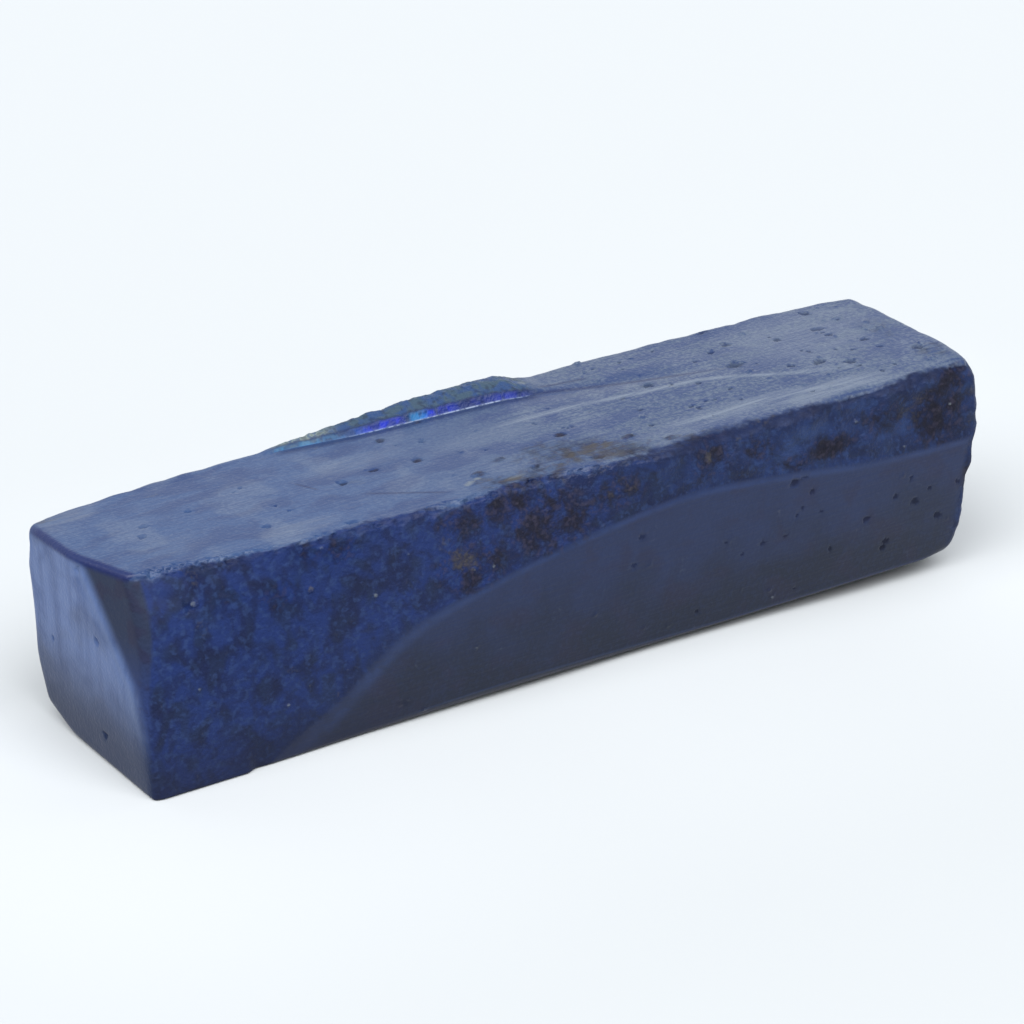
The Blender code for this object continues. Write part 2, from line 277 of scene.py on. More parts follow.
LEDGE_FOOT = ((-20, 9.9), (-13, 8.95), (-8, 8.6), (-3, 8.3), (4.5, 7.8), (9, 7.8))
LEDGE_HEIGHT = ((-22, 0.0), (-18.5, 0.6), (-12, 0.9), (-7, 1.15), (-3, 1.25), (3.5, 1.2), (6.0, 0.4),
                (8.0, 0.0))
LEDGE_WALL_SHARE = 0.62
GROOVE_LINE = ((4, 8.0), (8.5, 6.5), (12.3, 5.8), (18, 4.7), (26, 2.9))
GROOVE_DEPTH = 0.22
GROOVE_WIDTH = 1.1
CREST_LINE = ((-6, 4.0), (0.4, 3.5), (11.4, 2.7), (19.3, 1.3), (24, 0.5), (29.4, -1.3), (34, -3.5),
              (46, -7.0))
FRONT_SLOPE = 0.045
LEFT_END_X = -44.2
LEFT_END_SKEW = 0.062
LEFT_END_TWIST = 0.0012
FACET = (Vector((-44.93, 0.2, 18.0)), Vector((-44.35, -7.3, 9.5)), Vector((-42.3, -5.0, 18.8)))
FACET_NORMAL = (FACET[1] - FACET[0]).cross(FACET[2] - FACET[0])
FACET_BEND, FACET_BEND_FROM = 0.44, 9.5
FACET_BLEND = 0.2
RIGHT_END_X = 46.7
RIGHT_END_SKEW = 0.066
UNDERCUT = ((0, 2.6), (4, 1.9), (8, 1.1), (12, 0.4), (15.5, 0.0), (20, 0.1))
print("skin line above the base half way along, mm:", round(along(SKIN_LINE, 0), 1))


# %% Ends
def left_ground(y, z):
    return LEFT_END_X - (y + 10) * (LEFT_END_SKEW + LEFT_END_TWIST * z)


def left_facet(y, z):
    y -= FACET_BEND * max(0.0, FACET_BEND_FROM - z)
    run = FACET_NORMAL.y * (y - FACET[0].y) + FACET_NORMAL.z * (z - FACET[0].z)
    return FACET[0].x - run / FACET_NORMAL.x


def facet_gap(y, z):
    return left_facet(y, z) - left_ground(y, z)


def left_end(y, z):
    gap = facet_gap(y, z) / FACET_BLEND
    return left_facet(y, z) if gap > 20 else left_ground(y, z) + FACET_BLEND * math.log1p(math.exp(gap))


def right_end(y, z):
    undercut = along(UNDERCUT, z) * mix(1.0, 0.5, smooth(-10, 10, y))
    return RIGHT_END_X - RIGHT_END_SKEW * (y + 10) - undercut


print("length along the middle, mm:", round(right_end(0, 10) - left_end(0, 10), 1))


# %% Front and back
def skin_share(x, z):
    line = along(SKIN_LINE, x)
    return min(1.0, max(0.0, (z - line) / (HEIGHT + TOP_RISE * x - line)))


def front_face(x, z):
    swell = smooth(*FOOT_SWELL_FROM, x) - smooth(*FOOT_SWELL_TO, x)
    flat = FRONT_Y - FOOT_SWELL * swell * (1 - smooth(0.0, FOOT_SWELL_HEIGHT, z))
    flat += BEVEL_SLOPE * max(0.0, along(BASE_BEVEL, x) - z)
    share = skin_share(x, z)
    roundness = mix(*SKIN_ROUNDNESS, smooth(-36, -20, x))
    start = flat + SKIN_STEP * smooth(0.0, 0.05, share)
    return mix(start, along(FRONT_TOP_EDGE, x), share ** roundness)


def back_share(x, z):
    line = along(BACK_LINE, x)
    return smooth(line - 0.5, line + 2.5, z)


def back_face(x, z):
    return mix(BACK_Y, along(BACK_TOP_EDGE, x), back_share(x, z))


widths = [round(back_face(0, z) - front_face(0, z), 1) for z in (0, 19)]
print("width at the base and at the top, mm:", widths)


# %% Top
DRAWN_REACH = 4.0  # how far the rows beside the ledge and the skin line are drawn along
END_REACH = 30.0  # how far from the middle the ends' own shapes begin


def ledge(x, y):
    beyond = y - along(LEDGE_FOOT, x)
    wall = smooth(0.0, LEDGE_STEP, beyond) * LEDGE_WALL_SHARE
    slope = smooth(LEDGE_STEP * 0.6, 2.2, beyond) * (1 - LEDGE_WALL_SHARE)
    return along(LEDGE_HEIGHT, x) * (wall + slope)


def top_face(x, y):
    flat = HEIGHT + TOP_RISE * x
    off_groove = (y - along(GROOVE_LINE, x)) / GROOVE_WIDTH
    groove = GROOVE_DEPTH * math.exp(-off_groove * off_groove) * smooth(2, 6, x) * (1 - smooth(16, 26, x))
    before_crest = max(0.0, along(CREST_LINE, x) - y)
    slope = FRONT_SLOPE * before_crest * smooth(-6, 14, x)
    return flat - groove - slope + ledge(x, y)


def drawn_to_ledge(x, y):
    present = between(-24, -20, 8, 12, x)
    front, back = along(FRONT_TOP_EDGE, x), along(BACK_TOP_EDGE, x)
    row = mix(front, back, LEDGE_ROW / WIDTH + 0.5)
    nearness = between(row - DRAWN_REACH, row, row + LEDGE_STEP, back, y)
    return y + (along(LEDGE_FOOT, x) - row) * nearness * present


def drawn_to_skin_line(x, z):
    present = smooth(-20, -15, x)
    nearness = smooth(0.0, SKIN_ROW, z) if z < SKIN_ROW else 1 - smooth(SKIN_ROW, HEIGHT, z)
    return z + (along(SKIN_LINE, x) - SKIN_ROW) * nearness * present


def shaped(point):
    x, y, z = point.x, point.y, point.z + HALF.z
    z = mix(z, drawn_to_skin_line(x, z), 1 - smooth(-HALF.y, -HALF.y + DRAWN_REACH, y))
    across = y / WIDTH + 0.5
    y = mix(front_face(x, z), back_face(x, z), across)
    x += (1 - smooth(-HALF.x, -END_REACH, x)) * (left_end(y, z) + HALF.x)
    x += smooth(END_REACH, HALF.x, x) * (right_end(y, z) - HALF.x)
    y = mix(front_face(x, z), back_face(x, z), across)
    y = mix(y, drawn_to_ledge(x, y), smooth(HEIGHT - 3.0, HEIGHT - 0.3, z))
    z *= mix(1.0, top_face(x, y) / HEIGHT, smooth(0.0, HEIGHT, z))
    return Vector((x, y, z))


print("top of the ledge, mm:", round(top_face(-3, 11), 2))

# %% [markdown]
# ## Relief
# Lumps only belong on the skin and on the broken sides, so each point first gets a roughness. The
# skin grows calmer towards the left end. The ledge broke off rough, so it has a finer grit of its own.

# %% Relief
COARSE_LUMPS = (0.34, 7.0)
FINE_LUMPS = (0.18, 2.9)
CRUST_LUMPS = (0.30, 4.6)
CRUST_MEAN = 0.6
GROUND_WAVES = (0.05, 11.0)
SKIN_GRIT = ((0.12, 1.5), (0.09, 0.8))
LEDGE_GRIT = ((0.09, 1.3), (0.08, 0.6), (0.06, 0.35))
SKIN_CALM = (0.28, 0.85)  # share of the full relief that the skin keeps at its left and right
BASE_CALM = 2.5  # height over which the relief fades in above the base
SIDE_SHARPNESS = 40  # how abruptly the outward direction turns at an edge
SIDE_FADE = 2.0  # how far the broken back and end reach over their edges


def grit(point, layers, seed):
    return sum(height * lumps(point, spacing, seed + i) for i, (height, spacing) in enumerate(layers))


def outward_of(start):
    shares = Vector(math.copysign(abs(c / h) ** SIDE_SHARPNESS, c) for c, h in zip(start, HALF))
    return shares.normalized()


def at_back_and_right(start):
    return [smooth(-SIDE_FADE, 0.0, start[axis] - HALF[axis]) for axis in (1, 0)]


def on_ledge(point, start):
    return smooth(-1.0, 0.0, start.z - HALF.z) * smooth(0.1, 0.6, ledge(point.x, point.y))


def roughness_at(point, start):
    front = 1 - smooth(0.0, 1.5, start.y + HALF.y)
    back, right = at_back_and_right(start)
    top = smooth(-1.0, 0.0, start.z - HALF.z)
    on_skin = front * smooth(0.0, 0.2, skin_share(point.x, point.z))
    on_skin *= mix(SKIN_CALM[0], SKIN_CALM[1], smooth(-5, 25, point.x))
    on_back = back * back_share(point.x, point.z) * (1 - 0.7 * top)
    return max(on_skin, on_back, right * (1 - 0.6 * top), 0.3 * on_ledge(point, start))


def relief(point, start):
    coarse = COARSE_LUMPS[0] * lumps(point, COARSE_LUMPS[1], 1)
    fine = FINE_LUMPS[0] * lumps(point, FINE_LUMPS[1], 2)
    cells = noise.noise(point / CRUST_LUMPS[1], noise_basis="VORONOI_F2F1")
    crust = CRUST_LUMPS[0] * (cells + CRUST_MEAN)
    waves = GROUND_WAVES[0] * lumps(point, GROUND_WAVES[1], 3)
    rough = roughness_at(point, start) * (coarse + fine + crust + grit(point, SKIN_GRIT, 6))
    return rough + on_ledge(point, start) * grit(point, LEDGE_GRIT, 9) + waves


def shape_bar(first_new=0):
    layer = bar.verts.layers.float_vector["start"]
    bar.verts.ensure_lookup_table()
    for vert in bar.verts[first_new:]:
        start = vert[layer].copy()
        vert.co = shaped(rounded(start))
        if start.z > -HALF.z + 0.01:
            vert.co += outward_of(start) * relief(vert.co, start) * smooth(0.0, BASE_CALM, vert.co.z)
    bmesh.ops.recalc_face_normals(bar, faces=bar.faces)
    bar.normal_update()


shape_bar()
low = [round(min(v.co[i] for v in bar.verts), 2) for i in range(3)]
high = [round(max(v.co[i] for v in bar.verts), 2) for i in range(3)]
print("shaped bar, mm:", low, high)

# %% [markdown]
# ## Pits, bumps and chips
# The wheel opened small hollows in the crystal, and grains of the host rock still stick to it. Both
# are modelled as a push along the side's outward direction: inwards for a pit or a chip, outwards
# for a grain. Each is (place along the bar, place across or up the side, radius, height).

# %% Named pits and grains
TOP_MARKS = (
    (25.7, 2.5, 0.7, -0.26), (37.4, 4.9, 0.5, -0.18), (38.8, 8.7, 0.5, -0.17), (32.9, -1.5, 0.55, -0.2),
    (35.4, -3.1, 0.5, -0.17), (37.6, 3.1, 0.35, -0.12), (30.0, -0.7, 0.35, -0.12), (27.8, 6.8, 0.45, -0.17),
    (25.5, 6.1, 0.3, -0.12), (32.7, 5.0, 0.35, -0.12), (16.1, 3.1, 0.45, -0.17), (39.7, 0.3, 0.35, -0.12),
    (42.9, -3.9, 0.5, -0.18), (20.4, 0.9, 0.3, -0.11), (27.5, 10.5, 0.4, -0.14), (-18.6, 1.0, 0.45, -0.15),
    (-15.0, 1.7, 0.35, -0.11), (-10.6, 1.3, 0.45, -0.15), (-11.3, 6.8, 0.4, -0.15), (-8.2, 4.5, 0.3, -0.11),
    (42.7, 1.7, 0.4, 0.18), (26.1, 0.6, 0.3, 0.14), (42.4, -6.8, 0.4, 0.16), (13.4, 11.3, 0.4, 0.18),
    (-21.7, -6.2, 0.4, -0.11), (-28.4, -2.8, 0.35, -0.09), (3.3, -1.2, 0.45, -0.14), (8.5, -4.7, 0.45, 0.16),
    (-7.5, -4.3, 0.5, 0.16), (-4.3, -2.7, 0.4, 0.12), (1.9, -5.2, 0.5, 0.14), (3.8, -6.9, 0.4, -0.14),
    (11.9, -6.9, 0.45, 0.14), (-2.4, -5.7, 0.4, -0.12), (-37.5, 3.1, 0.4, -0.11), (-38.4, 1.4, 0.4, -0.12),
    (-32.9, 3.6, 0.3, -0.09), (-9.0, -5.4, 0.4, 0.16), (31.0, 8.2, 0.4, 0.16), (40.8, 6.0, 0.4, 0.16),
)
FRONT_MARKS = (
    (24.0, 12.8, 0.48, -0.13), (26.0, 11.3, 0.32, -0.08), (25.2, 13.0, 0.24, -0.06), (32.6, 6.6, 0.36, -0.09),
    (35.2, 3.6, 0.32, -0.08), (34.9, 3.0, 0.32, -0.09), (41.6, 4.7, 0.36, -0.09), (36.1, 8.1, 0.28, -0.07),
    (38.6, 6.9, 0.36, -0.08), (28.4, 4.6, 0.28, -0.06), (20.4, 7.4, 0.24, -0.07), (43.8, 7.8, 0.28, -0.06),
    (23.0, 7.4, 0.2, -0.04), (18.0, 6.8, 0.2, -0.04), (16.1, 8.6, 0.2, -0.05), (40.4, 7.9, 0.24, -0.06),
    (24.9, 9.9, 0.2, -0.04), (5.6, 9.1, 0.28, -0.08), (6.5, 11.8, 0.28, -0.07), (-38.4, 15.9, 0.4, -0.08),
)
PALE_GRAINS = (
    (-37.9, 16.0, 0.32, 0.14), (-27.3, 15.1, 0.35, 0.14), (-17.7, 16.1, 0.25, 0.1), (-21.2, 13.1, 0.25, 0.08),
    (-25.7, 18.4, 0.28, 0.1), (-30.6, 5.3, 0.25, 0.08), (31.4, 17.0, 0.28, 0.12), (-16.9, 0.8, 0.22, 0.06),
    (-11.4, 5.5, 0.2, 0.06), (9.6, 1.6, 0.2, 0.05), (21.7, 1.3, 0.2, 0.05), (-10.8, 13.6, 0.25, 0.1),
    (-9.4, 13.0, 0.22, 0.08), (-11.3, 13.2, 0.18, 0.07), (42.6, 16.2, 0.2, 0.08), (-3.2, 16.6, 0.2, 0.08),
    (2.6, 15.3, 0.18, 0.06), (-38.8, 9.0, 0.2, 0.06), (-24.6, 7.0, 0.2, 0.06), (37.0, 13.2, 0.2, 0.08),
)
END_MARKS = (
    (-1.9, 12.1, 0.45, -0.14), (-2.3, 3.0, 0.4, -0.1), (1.0, 18.0, 0.35, -0.1), (6.0, 9.0, 0.3, -0.08),
)


def top_place(x, y):
    return Vector((x, y, top_face(x, y)))


def front_place(x, z):
    return Vector((x, front_face(x, z), z))


def end_place(y, z):
    return Vector((left_end(y, z), y, z))


def on_side(side, marks):
    place_of, outward = side
    return [(place_of(*place), outward, radius, height) for *place, radius, height in marks]


UP, FORWARD, LEFTWARD = Vector((0, 0, 1)), Vector((0, -1, 0)), Vector((-1, 0, 0))
TOP, FRONT, LEFT_END = (top_place, UP), (front_place, FORWARD), (end_place, LEFTWARD)
named = on_side(TOP, TOP_MARKS) + on_side(FRONT, FRONT_MARKS + PALE_GRAINS)
named += on_side(LEFT_END, END_MARKS)
print("named marks:", len(named))

# %% [markdown]
# ## Small marks
# Between the named marks lie many smaller ones, most of them on the right half of the top. They come
# from a seeded draw. A mark is only one to a few slices wide, so the faces round each one are
# subdivided and the bar is shaped once more before anything is pushed.

# %% Small marks
MARK_SEED = 5
SMALL_RADIUS = (0.12, 0.24)
SMALL_HEIGHT = (0.25, 0.6)  # share of the radius
BUMP_SHARE = 0.5
SMALL_MARKS = (  # how many, from and to along the bar, from and to across or up, on which side
    (70, (12, 44), (-6.5, 9.5), TOP),
    (22, (-30, 12), (-4, 7), TOP),
    (14, (-15, 43), (1.0, 11.5), FRONT),
)
FINE_CUTS = 2
SMALLEST_FACE = 0.05  # square mm; smaller faces are fine enough as they are


def small_marks(count, along_range, across_range, side):
    draw = random.Random(MARK_SEED + count)
    marks = []
    for _ in range(count):
        place = (draw.uniform(*along_range), draw.uniform(*across_range))
        radius = draw.uniform(*SMALL_RADIUS)
        way = 1 if draw.random() < BUMP_SHARE else -1
        marks.append((*place, radius, way * radius * draw.uniform(*SMALL_HEIGHT)))
    return on_side(side, marks)


def faces_near(marks):
    bar.faces.ensure_lookup_table()
    tree = kdtree.KDTree(len(bar.faces))
    for face in bar.faces:
        tree.insert(face.calc_center_median(), face.index)
    tree.balance()
    near = set()
    for place, _, radius, _ in marks:
        near.update(index for _, index, _ in tree.find_range(place, radius * 1.4 + 0.1))
    return [bar.faces[i] for i in sorted(near) if bar.faces[i].calc_area() > SMALLEST_FACE]


small = [mark for row in SMALL_MARKS for mark in small_marks(*row)]
points_before = len(bar.verts)
refine(faces_near(named + small), FINE_CUTS)
shape_bar(first_new=points_before)
print("small marks:", len(small), "- faces now:", len(bar.faces))

# %% [markdown]
# ## Masks
# The finish has to change where a form changes, because a colour that ends where a form ends looks
# right from every side. Three kinds of number are stored on the mesh. A share says how much a point
# belongs to a side. A distance says how far it lies from a line, so that the finish can draw that
# line as thin as it likes. A cloud is soft noise with bent edges, for colours that drift.

# %% Masks
SHARES = ("front", "back", "left", "right", "top", "ledge", "rough", "strip", "glow", "cyan", "spark")
DISTANCES = ("over_skin_line", "over_bevel", "beyond_foot", "beyond_groove", "beyond_crest", "beyond_slope",
             "facet_gap", "from_left_edge")
CLOUDS = {  # size across and stretch along the bar
    "cloud_wide": (5.0, 1.0),
    "cloud_middle": (3.2, 1.0),
    "cloud_small": (1.6, 1.0),
    "cloud_long": (2.4, 5.0),
    "patches": (1.0, 1.0),
}
CLOUD_BEND = (2.6, 1.1)
PATCH_CONTRAST = 1.3
EDGE_LOBES = 0.35
LOBE_SIZES = (1.1, 0.5)
SWIRL_SEEDS = (31, 32, 33)
EDGE_FADE = (0.45, 0.9)
SKIN_OVER_EDGE = ((-46, -0.2), (-41, -0.3), (-37, 0.2), (-28, 0.3), (-23, 0.9), (-15, 0.8), (-12, 0.0),
                  (-7, 0.9), (-4, 1.0), (-1, 0.2), (3, 0.5), (7, 1.2), (10.5, 1.8), (14.5, 1.7),
                  (18, 1.4), (25, 1.2), (28, 0.9), (33, 0.8), (40, 1.2), (46, 0.3))
FACET_ON_FRONT = 0.8
GROOVE_SHADE = ((4.1, 7.7), (6.4, 7.7), (10.4, 6.5), (14.2, 5.3), (18.2, 4.1), (22.0, 3.0), (28.0, 1.4))
# Lines on the top along which painted highlights lie: the crest, and the front slope below.
CREST_HIGHLIGHT = ((-4.0, 3.2), (3.5, 3.3), (8.2, 3.1), (14.3, 2.2), (20.9, 1.4), (24.6, 0.1), (28.1, -1.6),
               (34.2, -3.8), (42.0, -6.0))
SLOPE_HIGHLIGHT = ((10.0, -4.6), (16.7, -5.1), (25.7, -5.2), (31.0, -6.3), (34.6, -7.6), (42.0, -8.0))
# Where the painted glow and its painted glints lie along the ledge.
GLOW_ALONG = ((-18, 0.6), (-14, 0.35), (-12.5, 0.6), (-9, 1.0), (-7.6, 0.6), (-7.2, 0.1), (-6.6, 0.8),
              (-4.5, 1.0), (-4.1, 0.15), (-3.6, 0.8), (-2, 0.4), (1.5, 0.25), (3, 0.5), (5, 0.25), (6.5, 0.0))
CYAN_ALONG = ((-18, 1.0), (-14, 0.8), (-12.5, 0.4), (-11, 0.0), (-7.6, 0.0), (-6.8, 0.8), (-5.4, 0.6),
              (-4.6, 0.0), (8, 0.0))
SPARK_ALONG = ((-15, 0.0), (-12, 0.5), (-9.5, 0.9), (-8, 0.6), (-5.5, 0.7), (-1.5, 1.0), (2, 1.0),
               (3.2, 0.4), (5, 0.6), (6.2, 0.0))


def shares_at(point, start):
    x = point.x
    from_top = HALF.z - start.z
    skin_edge = along(SKIN_OVER_EDGE, x)
    from_front = HALF.y + start.y - skin_edge
    from_sides = min(from_front, HALF.y - start.y, HALF.x + start.x, HALF.x - start.x)
    lobes = EDGE_LOBES * sum(lumps(point, size, 21 + i) for i, size in enumerate(LOBE_SIZES))
    width = mix(EDGE_FADE[0], EDGE_FADE[1], smooth(2, 18, x))
    top = smooth(-width, 0.1, from_sides - from_top + lobes)
    back, right = at_back_and_right(start)
    present = top * smooth(0.1, 0.5, along(LEDGE_HEIGHT, x))
    left = (1 - smooth(0.0, 0.3, start.x + HALF.x)) * smooth(0.0, 0.5, start.y + HALF.y)
    facet_width = FACET_ON_FRONT * smooth(8.0, 16.0, point.z)
    facet = (1 - smooth(facet_width, facet_width + 0.3, start.x + HALF.x)) * (1 - top)
    back = back * back_share(x, point.z) * (1 - top)
    front = 1 - smooth(max(0.0, skin_edge), max(0.0, skin_edge) + 1.5, start.y + HALF.y)
    skin = front * smooth(-0.2, 0.2, point.z - along(SKIN_LINE, x))
    behind_foot = present * smooth(0.0, 0.2, point.y - along(LEDGE_FOOT, x))
    return {
        "front": front,
        "back": back,
        "left": max(left, facet * smooth(0.0, -2.0, start.y) * smooth(5.0, 9.0, point.z)),
        "right": right,
        "top": top,
        "rough": max(max(skin, back, right) * (1 - top), behind_foot),
        "strip": front * (1 - top) * smooth(-1.2, -0.2, start.z - HALF.z) * smooth(4, 14, x),
        "ledge": present,
        "glow": present * along(GLOW_ALONG, x),
        "cyan": along(CYAN_ALONG, x),
        "spark": present * along(SPARK_ALONG, x),
    }


def distances_at(point, start):
    x, y, z = point
    return {
        "over_skin_line": z - along(SKIN_LINE, x),
        "over_bevel": z - along(BASE_BEVEL, x),
        "beyond_foot": y - along(LEDGE_FOOT, x),
        "beyond_groove": y - along(GROOVE_SHADE, x),
        "beyond_crest": y - along(CREST_HIGHLIGHT, x),
        "beyond_slope": y - along(SLOPE_HIGHLIGHT, x),
        "facet_gap": facet_gap(y, z),
        "from_left_edge": start.x + HALF.x + HALF.z - start.z,
    }


def clouds_at(point):
    swirl = Vector(lumps(point, CLOUD_BEND[0], seed) for seed in SWIRL_SEEDS) * CLOUD_BEND[1]
    clouds = {}
    for number, (name, (spacing, stretch)) in enumerate(CLOUDS.items()):
        place = Vector(((point.x + swirl.x) / stretch, point.y + swirl.y, point.z + swirl.z)) / spacing
        clouds[name] = 0.5 + 0.5 * noise.fractal(place + Vector((7 * number, 0, 0)), 1.0, 2.0, 3)
    clouds["patches"] = 0.5 + PATCH_CONTRAST * (clouds["patches"] - 0.5)
    return clouds


def store_masks():
    layers = {name: bar.verts.layers.float.new(name) for name in SHARES + DISTANCES + tuple(CLOUDS)}
    start = bar.verts.layers.float_vector["start"]
    for vert in bar.verts:
        numbers = shares_at(vert.co, vert[start]) | distances_at(vert.co, vert[start])
        for name, value in (numbers | clouds_at(vert.co)).items():
            vert[layers[name]] = value


store_masks()
print("stored on the mesh:", len(SHARES), "shares and", len(DISTANCES), "distances")


# %% Push the marks in and out
PIT_WALL = 0.45  # the share of a pit's radius that is flat floor
PIT_LUMPS = 0.8
PIT_STRETCH = 1.5  # pits are longer along the bar


def point_tree():
    bar.verts.ensure_lookup_table()
    bar.normal_update()
    tree = kdtree.KDTree(len(bar.verts))
    for vert in bar.verts:
        tree.insert(vert.co, vert.index)
    tree.balance()
    return tree


def on_surface(tree, place, outward):
    return place + outward * (tree.find(place)[0] - place).dot(outward)


def push(tree, place, outward, radius, height, layer=None):
    middle = on_surface(tree, place, outward)
    for _, index, _ in tree.find_range(middle, radius * PIT_STRETCH):
        vert = bar.verts[index]
        off = vert.co - middle
        off.x /= PIT_STRETCH
        ragged = off.length / radius * (1 + PIT_LUMPS * lumps(vert.co, radius, 4))
        share = 1 - smooth(PIT_WALL, 1.0, ragged)
        vert.co += outward * height * share
        if layer:
            vert[layer] = max(vert[layer], share)


pit = bar.verts.layers.float.new("pit")
tree = point_tree()
for place, outward, radius, height in named + small:
    push(tree, place, outward, radius, height, pit if height < 0 else None)
print("marks pushed:", len(named + small))

# %% [markdown]
# ## Chipped edges
# The long front edge took the knocks. Its chips are many and alike, so they come from a seeded
# draw too: a place along the edge, a size, and a depth that goes with the size.

# %% Chipped edges
CHIP_SEED = 11
EDGE_CHIPS = 260
CHIP_FROM, CHIP_TO = -42.0, 44.0
CHIP_SIZE = (0.25, 0.55)
CHIP_DEPTH = 0.33
FINE_CHIPS = 0.35  # share of that size where the edge is worn round


def chip_front_edge():
    draw = random.Random(CHIP_SEED)
    tree = point_tree()
    outward = (UP + FORWARD).normalized()
    for _ in range(EDGE_CHIPS):
        x = draw.uniform(CHIP_FROM, CHIP_TO)
        size = draw.uniform(*CHIP_SIZE) * mix(1.0, FINE_CHIPS, smooth(-2, 12, x))
        y = along(FRONT_TOP_EDGE, x) + draw.uniform(-0.2, 0.3)
        push(tree, top_place(x, y), outward, size, -CHIP_DEPTH * size)


chip_front_edge()
print("chips:", EDGE_CHIPS)

# %% [markdown]
# ## Stains, flakes and painted sheen
# Iron has stained the skin in patches, and brown and pale flakes of it are smeared over the front
# edge of the top. Their places are painted on the mesh as soft ellipses, and the finish sprinkles
# colour over them, denser where the paint is stronger. A fourth layer, 'light', holds painted sheen:
# lighter patches of the top and the skin where they catch the light. A stain is (along, across or
# up, reach along, reach across, strength).

# %% Stains, flakes and painted sheen
SKIN_BROWN = (
    (-24.0, 17.8, 2.6, 1.6, 0.6), (-27.0, 18.2, 2.0, 1.2, 0.45), (-35.2, 15.8, 3.0, 1.5, 0.3),
    (-30.4, 15.0, 2.8, 1.8, 0.45), (-37.0, 17.2, 1.2, 1.4, 0.3), (-12.0, 17.6, 3.6, 1.7, 0.8),
    (-7.0, 17.8, 4.0, 1.9, 0.9), (-3.0, 15.6, 6.5, 4.2, 0.9), (-11.5, 13.6, 5.5, 3.6, 0.8),
    (4.0, 16.8, 4.5, 2.6, 0.7), (20.0, 16.8, 2.4, 1.8, 0.8), (14.5, 17.2, 3.6, 2.4, 0.8),
    (41.0, 15.5, 5.2, 4.2, 1.0), (43.0, 18.4, 3.4, 1.6, 1.0), (34.5, 16.5, 4.5, 2.6, 0.6),
    (28.4, 15.3, 4.2, 1.7, 0.95), (24.0, 14.8, 3.4, 1.2, 0.8), (46.0, 9.0, 2.4, 6.0, 0.7),
)
SKIN_OCHRE = (
    (-12.6, 14.4, 2.4, 1.7, 0.75), (-11.4, 13.6, 1.0, 0.8, 0.8), (-13.8, 16.0, 1.4, 1.2, 0.5),
    (-27.3, 15.1, 0.5, 0.5, 1.0), (14.1, 17.6, 0.6, 1.2, 0.8), (-37.3, 17.8, 0.7, 1.0, 0.6),
    (-37.7, 14.0, 0.9, 1.5, 0.25), (-19.0, 2.1, 1.2, 0.6, 0.5), (-25.5, 4.9, 0.9, 0.6, 0.5),
    (-29.8, 8.5, 1.2, 0.8, 0.4), (38.5, 16.6, 3.2, 2.4, 0.4), (4.0, 17.2, 3.5, 1.6, 0.3),
    (18.2, 18.4, 1.6, 0.8, 0.4), (-38.0, 18.5, 0.8, 0.6, 0.5), (45.5, 15.0, 1.5, 4.0, 0.3),
)
# Lighter facets of the skin on the right, laid on the layer 'light': painted sheen.
SKIN_SHEEN_FACETS = (
    (26.0, 17.4, 3.0, 1.0, 0.7), (23.6, 16.2, 1.3, 1.6, 0.7), (22.6, 14.8, 0.9, 1.3, 0.8),
    (32.0, 18.4, 2.0, 0.8, 0.4), (36.0, 15.2, 4.0, 1.0, 0.45),
)
TOP_BROWN = (
    (3.3, -1.2, 1.0, 0.6, 0.9), (8.5, -4.7, 1.2, 0.6, 1.0), (-7.5, -4.3, 1.0, 0.7, 0.9),
    (-4.3, -2.7, 1.3, 0.7, 0.5), (1.9, -5.2, 1.8, 0.8, 0.9), (3.8, -6.9, 1.8, 0.8, 0.9),
    (11.9, -6.9, 1.4, 0.6, 0.8), (-2.4, -5.7, 1.4, 0.7, 0.8), (-10.6, 1.3, 0.7, 0.5, 0.7),
    (-15.0, 1.7, 0.9, 0.4, 0.7), (-18.6, 1.0, 0.6, 0.5, 0.7), (-11.3, 6.8, 0.7, 0.5, 0.7),
    (0.5, -3.4, 6.0, 3.0, 0.5), (-4.0, -6.8, 6.5, 2.0, 0.75), (6.0, -6.8, 6.0, 2.2, 0.8),
    (14.0, -8.0, 5.0, 1.4, 0.5), (2.5, -5.2, 7.5, 3.2, 0.7), (25.7, 2.2, 1.2, 0.6, 0.6),
    (-6.4, 8.2, 0.9, 0.5, 0.6), (42.5, 2.0, 3.0, 4.0, 0.35), (43.5, -5.0, 2.5, 3.0, 0.5),
)
TOP_OCHRE = (
    (-8.0, -5.6, 1.8, 0.9, 0.8), (-5.0, -6.6, 2.0, 0.9, 0.85), (4.5, -7.2, 3.0, 1.0, 0.8),
    (2.2, -5.6, 1.8, 0.9, 0.8), (4.0, -5.8, 7.0, 2.6, 0.6), (21.0, -8.3, 2.5, 0.7, 0.5),
    (-43.5, 9.0, 2.0, 0.9, 0.6),
)
TOP_PALE = (
    (-9.3, -5.5, 0.9, 0.5, 1.1), (-8.2, -5.0, 0.7, 0.4, 0.9), (-4.6, -6.4, 1.6, 0.5, 0.8),
    (-1.5, -6.6, 1.4, 0.4, 0.5), (5.6, 9.4, 1.0, 0.5, 1.0), (2.0, -7.6, 2.4, 0.4, 0.5),
)
# Lighter zones of the top, laid on the layer 'light'; those along the crest and the front slope are painted
# sheen.
TOP_LIGHTER_AND_SHEEN_ZONES = (
    (19.0, -5.4, 9.0, 2.0, 0.6), (30.0, -6.6, 9.0, 1.8, 0.9), (12.0, -6.4, 6.0, 1.8, 0.4),
    (-42.0, 8.6, 3.5, 1.6, 0.5), (36.0, 4.5, 11.0, 7.0, 0.45), (-37.0, -1.5, 4.0, 2.5, 0.15),
    (-16.0, 4.0, 7.0, 2.0, 0.3), (-3.0, 2.0, 8.0, 2.0, 0.3), (-26.0, -4.5, 5.0, 1.6, 0.35),
)
GRAIN_PALE = 0.7
STAIN_AND_SHEEN_LAYERS = {name: bar.verts.layers.float.new(name) for name in ("brown", "ochre", "pale", "light")}


